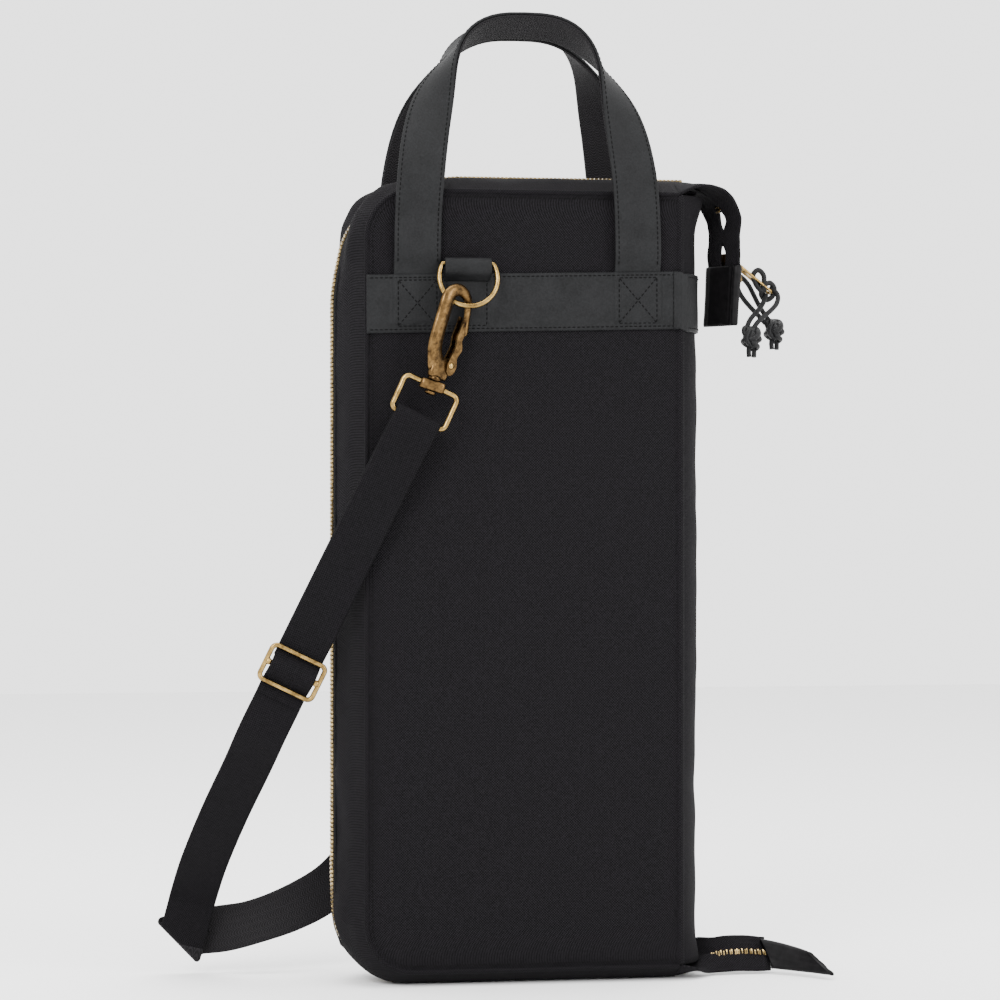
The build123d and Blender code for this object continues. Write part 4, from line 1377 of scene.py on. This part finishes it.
def tail_strip(name, centres, acrosses, widths, top, facing, finish=CANVAS):
    """Canvas that runs on from a gusset's end and narrows into a tail's strip."""
    middle = gusset_end(0.5, top, facing)
    settle = curve_points([(v, 0, 0) for v in (0.0, 0.5, 0.88, 1.0) + (1.0,) * (len(centres) - 4)], 5)
    path = curve_points(centres, 5)
    sides = [w.normalized() for w in curve_points(acrosses, 5)]
    sizes = curve_points([(w, 0, 0) for w in widths], 5)
    rings = []
    for n, (point, side, size, done) in enumerate(zip(path, sides, sizes, settle)):
        ring = []
        for m in range(15):
            t = -1 + m / 7
            v = (1 - t) / 2 if facing < 0 else (1 + t) / 2
            loose = gusset_end(v, top, facing) + point - middle
            flat = point + side * (t * size.x / 2)
            flat += Vector(
                (wobble((n, 0, t * 9 + facing), 0.35, 0.5), 0, wobble((n, 5, t * 9 + facing), 0.35, 0.5))
            )
            ring.append(loose.lerp(flat, done.x) * MM)
        rings.append(ring)
    return cloth(name, rings, finish, "canvas", 1.5)


FORE = Vector((0, -1, 0))
swing_round = [
    FORE, FORE, Vector((0.12, -0.99, 0)), Vector((0.3, -0.95, 0)), TAIL_ACROSS, TAIL_ACROSS, TAIL_ACROSS,
    TAIL_ACROSS, TAIL_ACROSS
]


def tail_spots(offsets):
    return [Vector((TAIL_X, 0, z)) + TAIL_ACROSS * c for z, c in offsets]


front_line = [
    gusset_end(0.5, True, -1), Vector((102, -14.5, 478.0)), Vector((111, -11.5, 477.6)),
    Vector((119.4, -9.6, 474.4)), Vector((126.4, -8.8, 468.2))
] + tail_spots(((458, 9.9), (447, 7.6), (437, 9.6), (428.5, 9.0)))
front_strip = tail_strip(
    "top_tail_front_strip", front_line, swing_round, (27, 29, 27, 23, 18, 12.4, 14.8, 11.6, 12.6), True, -1
)
rear_line = [
    gusset_end(0.5, True, 1), Vector((102, 14.5, 478.2)), Vector((110.5, 11.5, 476.2)),
    Vector((117, 9.2, 471.5)), Vector((121.2, 8.0, 465))
] + tail_spots(((457, -7.2), (447, -5.0), (437, -7.0), (428.5, -5.6)))
rear_strip = tail_strip(
    "top_tail_rear_strip", rear_line, swing_round, (27, 26, 23, 19, 15, 11.6, 12.6, 10.8, 11.2), True, 1
)
for strip in (front_strip, rear_strip):
    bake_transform(strip)
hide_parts("top_tail_tapes")


def tooth_row(name, line, acrosses, pitch, body, reach):
    """A short run of closed zip: teeth from both sides in turn."""
    path, sides = curve_points(line, 14), curve_points(acrosses, 14)
    ways = directions(path)
    verts, faces, uvs = [], [], []
    travelled, count = 0.0, 0
    for n in range(1, len(path)):
        travelled += (path[n] - path[n - 1]).length
        if travelled >= count * pitch:
            count += 1
            side = sides[n].normalized() * (-1 if count % 2 else 1)
            up = abs_up(sides[n].normalized().cross(ways[n]))
            tooth_block(
                verts, faces, uvs, (path[n] + side * reach) * MM, ways[n], up, -side,
                (1.1 * MM, 1.2 * MM, 3.4 * MM)
            )
    return ride(outward(add(name, verts, faces, uvs, TEETH, "zip_teeth", smooth=False)), body)


def abs_up(way):
    return way.normalized() if way.z >= 0 else -way.normalized()


tooth_row(
    "top_tail_teeth",
    [(121.2, -1.3, 473.4), (123.2, -1.6, 469.6), (124.4, -1.7, 465.4), (124.8, -1.7, 462)],
    [TAIL_ACROSS] * 4, 1.4, "top_tail", 2.2
)
rings = []
for z, w, d in (
    (429.5, 31.0, 4.6), (428.6, 31.6, 5.4), (424, 31.3, 5.6), (412, 30.6, 5.0), (400, 30.6, 4.8),
    (394.5, 31.0, 4.8), (393.2, 30.4, 3.8)
):
    sway = wobble((3, 7, z), 0.08, 0.8)
    slip = 1.6 - 3.2 * (429.5 - z) / 36
    ring = []
    for px, py in strap_section(28.6, 5, 20):
        crease = 0.8 * math.exp(-((px - 9.4) / 0.9) ** 2) + 0.6 * math.exp(-((px + 11.2) / 0.9) ** 2)
        x, y = px * w / 31 + slip, py * d / 5 - math.copysign(crease, py) + sway * (1 - abs(px) / 16)
        ring.append((Vector((TAIL_X, 0, z)) + TAIL_ACROSS * x + TAIL_NORMAL * y) * MM)
    rings.append(ring)
ride(loft("top_cap", rings, CAP, "cap_cloth"), "top_tail", "top_tail_cap")

ROOTS = {
    "top": (30, 1.8, [(94.5, 0, 471.6), (99, 0, 472.6), (104, 0, 473.2), (107.6, 0, 472.6)]),
    "bottom": (22, 1.6, [(94.5, 0, 4.2), (99, 0, 3.4), (104, 0, 3.0), (107.6, 0, 3.0)]),
}
for label, (width, thick, line) in ROOTS.items():
    path = metres(curve_points(line, 6))
    shape = metres([Vector(spot) for spot in strap_section(width, thick, 8)])
    root = swept(f"{label}_root", path, shape, CANVAS, "canvas", wide=[FORE] * len(path))
    ride(root, "spine", f"{label}_tail_root")

# ---- Bottom tail: the strips lean on the floor beside the bag and meet in a cap ----
lean = math.radians(38)
floor_up = Vector((0, math.sin(lean), math.cos(lean)))
lie_down = [FORE, (FORE * 0.7 - floor_up * 0.3).normalized(), -floor_up, -floor_up, -floor_up, -floor_up]
low_line = [
    gusset_end(0.5, False, -1), Vector((104, -17, 3.4)), Vector((114, -12.5, 5.6)),
    Vector((124, -10.2, 6.0)), Vector((138, -9.8, 6.2)), Vector((154, -9.6, 6.0))
]
low_strip = tail_strip(
    "bottom_tail_front_strip", low_line, lie_down, (27, 21, 14, 12.6, 12.4, 12.4), False, -1
)
high_line = [
    gusset_end(0.5, False, 1), Vector((103, 13.5, 6.4)), Vector((113, 6.5, 12.6)), Vector((123, 1.4, 14.6)),
    Vector((138, 0.8, 15.6)), Vector((154, -0.4, 14.6))
]
high_strip = tail_strip("bottom_tail_rear_strip", high_line, lie_down, (27, 20, 14, 12, 11.6, 11.2), False, 1)
for strip in (low_strip, high_strip):
    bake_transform(strip)
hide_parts("bottom_tail_tapes")
tooth_row(
    "bottom_tail_teeth", [(118.5, -6.8, 9.6), (124, -6.2, 10.8), (138, -5.8, 11.6), (152, -6.8, 10.8)],
    [-floor_up] * 4, 1.6, "bottom_tail", 1.9
)
rings = []
edges = [
    ((155.4, -13.2, 1.9), (150.8, -0.4, 18.6)), ((156.8, -14, 1.8), (152.0, -1.0, 18.6)),
    ((166, -22, 1.6), (160.4, -7, 17.2)), ((174.6, -31.4, 1.5), (168.6, -15, 15.4)),
    ((183.4, -43, 1.4), (174.6, -22.4, 13.6)), ((184.4, -44.6, 1.4), (175.2, -23.2, 12.6))
]
bottoms, tops = curve_points([e[0] for e in edges], 3), curve_points([e[1] for e in edges], 3)
for n, (low_spot, high_spot) in enumerate(zip(bottoms, tops)):
    middle, wide = (low_spot + high_spot) / 2, high_spot - low_spot
    size = wide.length
    way = (bottoms[min(n + 1, len(bottoms) - 1)] - bottoms[max(n - 1, 0)]).normalized()
    thick = way.cross(wide).normalized()
    plump = 1.0 if 1 < n < len(bottoms) - 2 else 0.78
    crease = wobble((n, 4, 2), 0.5, 0.4)
    ring = []
    for px, py in strap_section(25, 4.4, 12):
        spot = middle + wide.normalized() * (px * size / 25) + thick * (
            py * plump + crease + wobble((px * 1.2, n, 3), 0.22, 0.7)
        )
        ring.append(Vector((spot.x, spot.y, max(spot.z, 0.3))) * MM)
    rings.append(ring)
ride(loft("bottom_cap", rings, CAP, "cap_cloth"), "bottom_tail", "bottom_tail_cap")


# ---- Sliders and their pulls ----
def on_tail(out, across, up):
    return Vector((TAIL_X, 0, up)) + TAIL_NORMAL * out + TAIL_ACROSS * across


for name, height, way, length in (
    ("lower", 433.4, Vector((0.8, 0.2, -0.57)), 33), ("upper", 446, Vector((0.45, -0.25, -0.86)), 28)
):
    rings = []
    for out, grow in ((1.5, -0.8), (1.9, 0.0), (4.2, 0.0), (4.8, -0.7), (5.0, -2.0)):
        rings.append([on_tail(out, x, height + z) * MM for x, z in round_rect(9 + grow, 8 + grow, 2.2, 4)])
    plate = loft(f"{name}_slider_plate", rings, BRASS, "brass")
    arch = [
        on_tail(4.6 + 4.2 * math.sin(math.pi * n / 12), 0, height + 2.4 * math.cos(math.pi * n / 12)) * MM
        for n in range(13)
    ]
    bridge = swept(
        f"{name}_slider_bridge", arch, [(x * MM, y * MM) for x, y in round_rect(2.6, 1.2, 0.5, 2)], BRASS,
        "brass", wide=[TAIL_ACROSS] * 13
    )
    ride(joined(f"{name}_zip_slider", [plate, bridge]), f"{name}_slider", f"{name}_slider")

    heading = (TAIL_NORMAL * way.x + TAIL_ACROSS * way.y + Vector((0, 0, way.z))).normalized()
    flat = heading.cross(TAIL_ACROSS).normalized()
    side_way = flat.cross(heading)
    pivot = on_tail(8.2, 0, height)
    rails = []
    for half in (-1, 1):
        outer, inner = [], []
        for n in range(41):
            t = n / 40
            d = -1.0 + (length + 2.0) * t
            w = 2.9
            if d < 1.5:
                w = 2.9 - 1.0 * (1 - (d + 1) / 2.5) ** 2
            if d > length - 1.6:
                w = 2.9 - 1.4 * ((d - length + 1.6) / 2.6) ** 2
            hole = 0.0
            if -0.2 <= d <= 4.2:
                hole = 1.9
            if length - 3.4 <= d <= length - 0.6:
                hole = 1.7 * math.sqrt(max(0.0, 1 - ((d - length + 2) / 1.4) ** 2))
            outer.append((half * w, d))
            inner.append((half * hole, d))
        rings = []
        for (ox, od), (ix, _) in zip(outer, inner):
            base = pivot + heading * od
            lip = ox - half * 0.4
            section = ((ix, 0.72), (lip, 0.72), (ox, 0.3), (ox, -0.3), (lip, -0.72), (ix, -0.72))
            rings.append([(base + side_way * x + flat * y) * MM for x, y in section])
        rails.append(loft(f"{name}_pull_rail", rings, BRIGHT, "brass"))
    pin = [pivot + TAIL_ACROSS * (-2.8 + 5.6 * n / 4) for n in range(5)]
    rails.append(swept(f"{name}_pull_pin", metres(pin), disc(0.75 * MM, 10), BRIGHT, "brass"))
    ride(joined(f"{name}_zip_pull", rails), f"{name}_pull", f"{name}_pull")


# ---- Inside: foam board, lining and stick pockets of each half ----
for side, facing, shift in SIDES:
    rings = []
    for depth, shrink in ((30.4, 0.6), (30.0, 0.0), (27.0, 0.0), (26.6, 0.6)):
        points = outline(SEAM, 4 + shrink, right=91 - shrink, counts=(20, 8, 40))[0]
        rings.append([Vector((x, facing * depth, z)) * MM for x, z in points])
    ride(loft(f"{side}_foam", rings, FOAM, "foam_board"), f"{side}_half", f"{side}_board")
    rings = []
    for k in range(61):
        z = 11.4 + 455.2 * k / 60
        x0 = left_of(z, SEAM) + 3.2
        ring = []
        for n in range(41):
            x = x0 + (90.8 - x0) * n / 40
            ring.append(Vector((x, facing * (25.8 + wobble((x, 2, z), 0.03, 0.5)), z)) * MM)
        rings.append(ring)
    ride(cloth(f"{side}_lining_cloth", rings, LINING, "lining", 0.9), f"{side}_half", f"{side}_lining")
    top = 300.0 if side == "rear" else 240.0
    rings = []
    for k in range(49):
        z = 14.5 + (top - 14.8) * k / 48
        open_way = smooth_step((z - top + 60) / 60)
        ring = []
        for n in range(97):
            t = n / 96
            x = -84 + 172 * t
            bay = math.sin(math.pi * ((t * 3) % 1.0)) if 0 < n < 96 else 0.0
            belly = abs(bay) ** 0.55
            depth = 24.4 - belly * (13.6 + 0.9 * open_way) * smooth_step((z - 12) / 14)
            ring.append(Vector((x, facing * (depth + wobble((x, 9, z), 0.04, 0.5)), z)) * MM)
        rings.append(ring)
    ride(cloth(f"{side}_pocket_cloth", rings, LINING, "lining", 1.0), f"{side}_half", f"{side}_stick_pocket")
    hem = [point - Vector((0, 0, 2 * MM)) for point in rings[-1]]
    section = [(x * MM, y * MM) for x, y in round_rect(5.0, 1.9, 0.8, 2)]
    upright = [Vector((0, 0, 1))] * len(hem)
    ride(swept(f"{side}_pocket_hem", hem, section, TAPE, "zip_tape", wide=upright), f"{side}_half")
rings = []
for k in range(41):
    ring = []
    for m in range(21):
        a = SWEEP * (-0.9 + 1.8 * m / 20)
        x, y = AXIS_X + (RADIUS - 3.0) * math.cos(a), (RADIUS - 3.0) * math.sin(a)
        ring.append(Vector((x, y, 11.5 + 455 * k / 40)) * MM)
    rings.append(ring)
ride(cloth("spine_lining_cloth", rings, LINING, "lining", 0.9), "spine", "spine_lining")


# ---- Floor and light ----
rings = []
for y in [-3.0 + 6.0 * n / 12 for n in range(13)]:
    rings.append([Vector((-3.0 + 6.0 * m / 12, y, -0.0012)) for m in range(13)])
floor_finish = Nodes("floor_finish", (0.86, 0.86, 0.86), 0.75)
floor = loft("floor", rings, floor_finish.material, "canvas", closed=False)
del floor["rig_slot"]

world = bpy.data.worlds.new("studio")
bpy.context.scene.world = world
world.use_nodes = True
world.node_tree.nodes["Background"].inputs["Color"].default_value = (1, 1, 1, 1)
world.node_tree.nodes["Background"].inputs["Strength"].default_value = 2.6


def softbox(name, place, aim, size, power):
    """A large soft lamp."""
    data = bpy.data.lights.new(name, "AREA")
    data.shape = "RECTANGLE"
    data.size, data.size_y = size
    data.energy = power
    lamp = bpy.data.objects.new(name, data)
    bpy.context.scene.collection.objects.link(lamp)
    lamp.location = place
    lamp.rotation_euler = (Vector(aim) - Vector(place)).to_track_quat("-Z", "Y").to_euler()


softbox("key", (-1.3, -1.8, 1.6), (0, 0, 0.3), (1.0, 1.2), 70)
softbox("fill", (1.6, -1.5, 0.9), (0, 0, 0.3), (0.8, 1.4), 30)
softbox("top", (0.0, 0.2, 1.9), (0, 0, 0.3), (1.6, 1.0), 40)
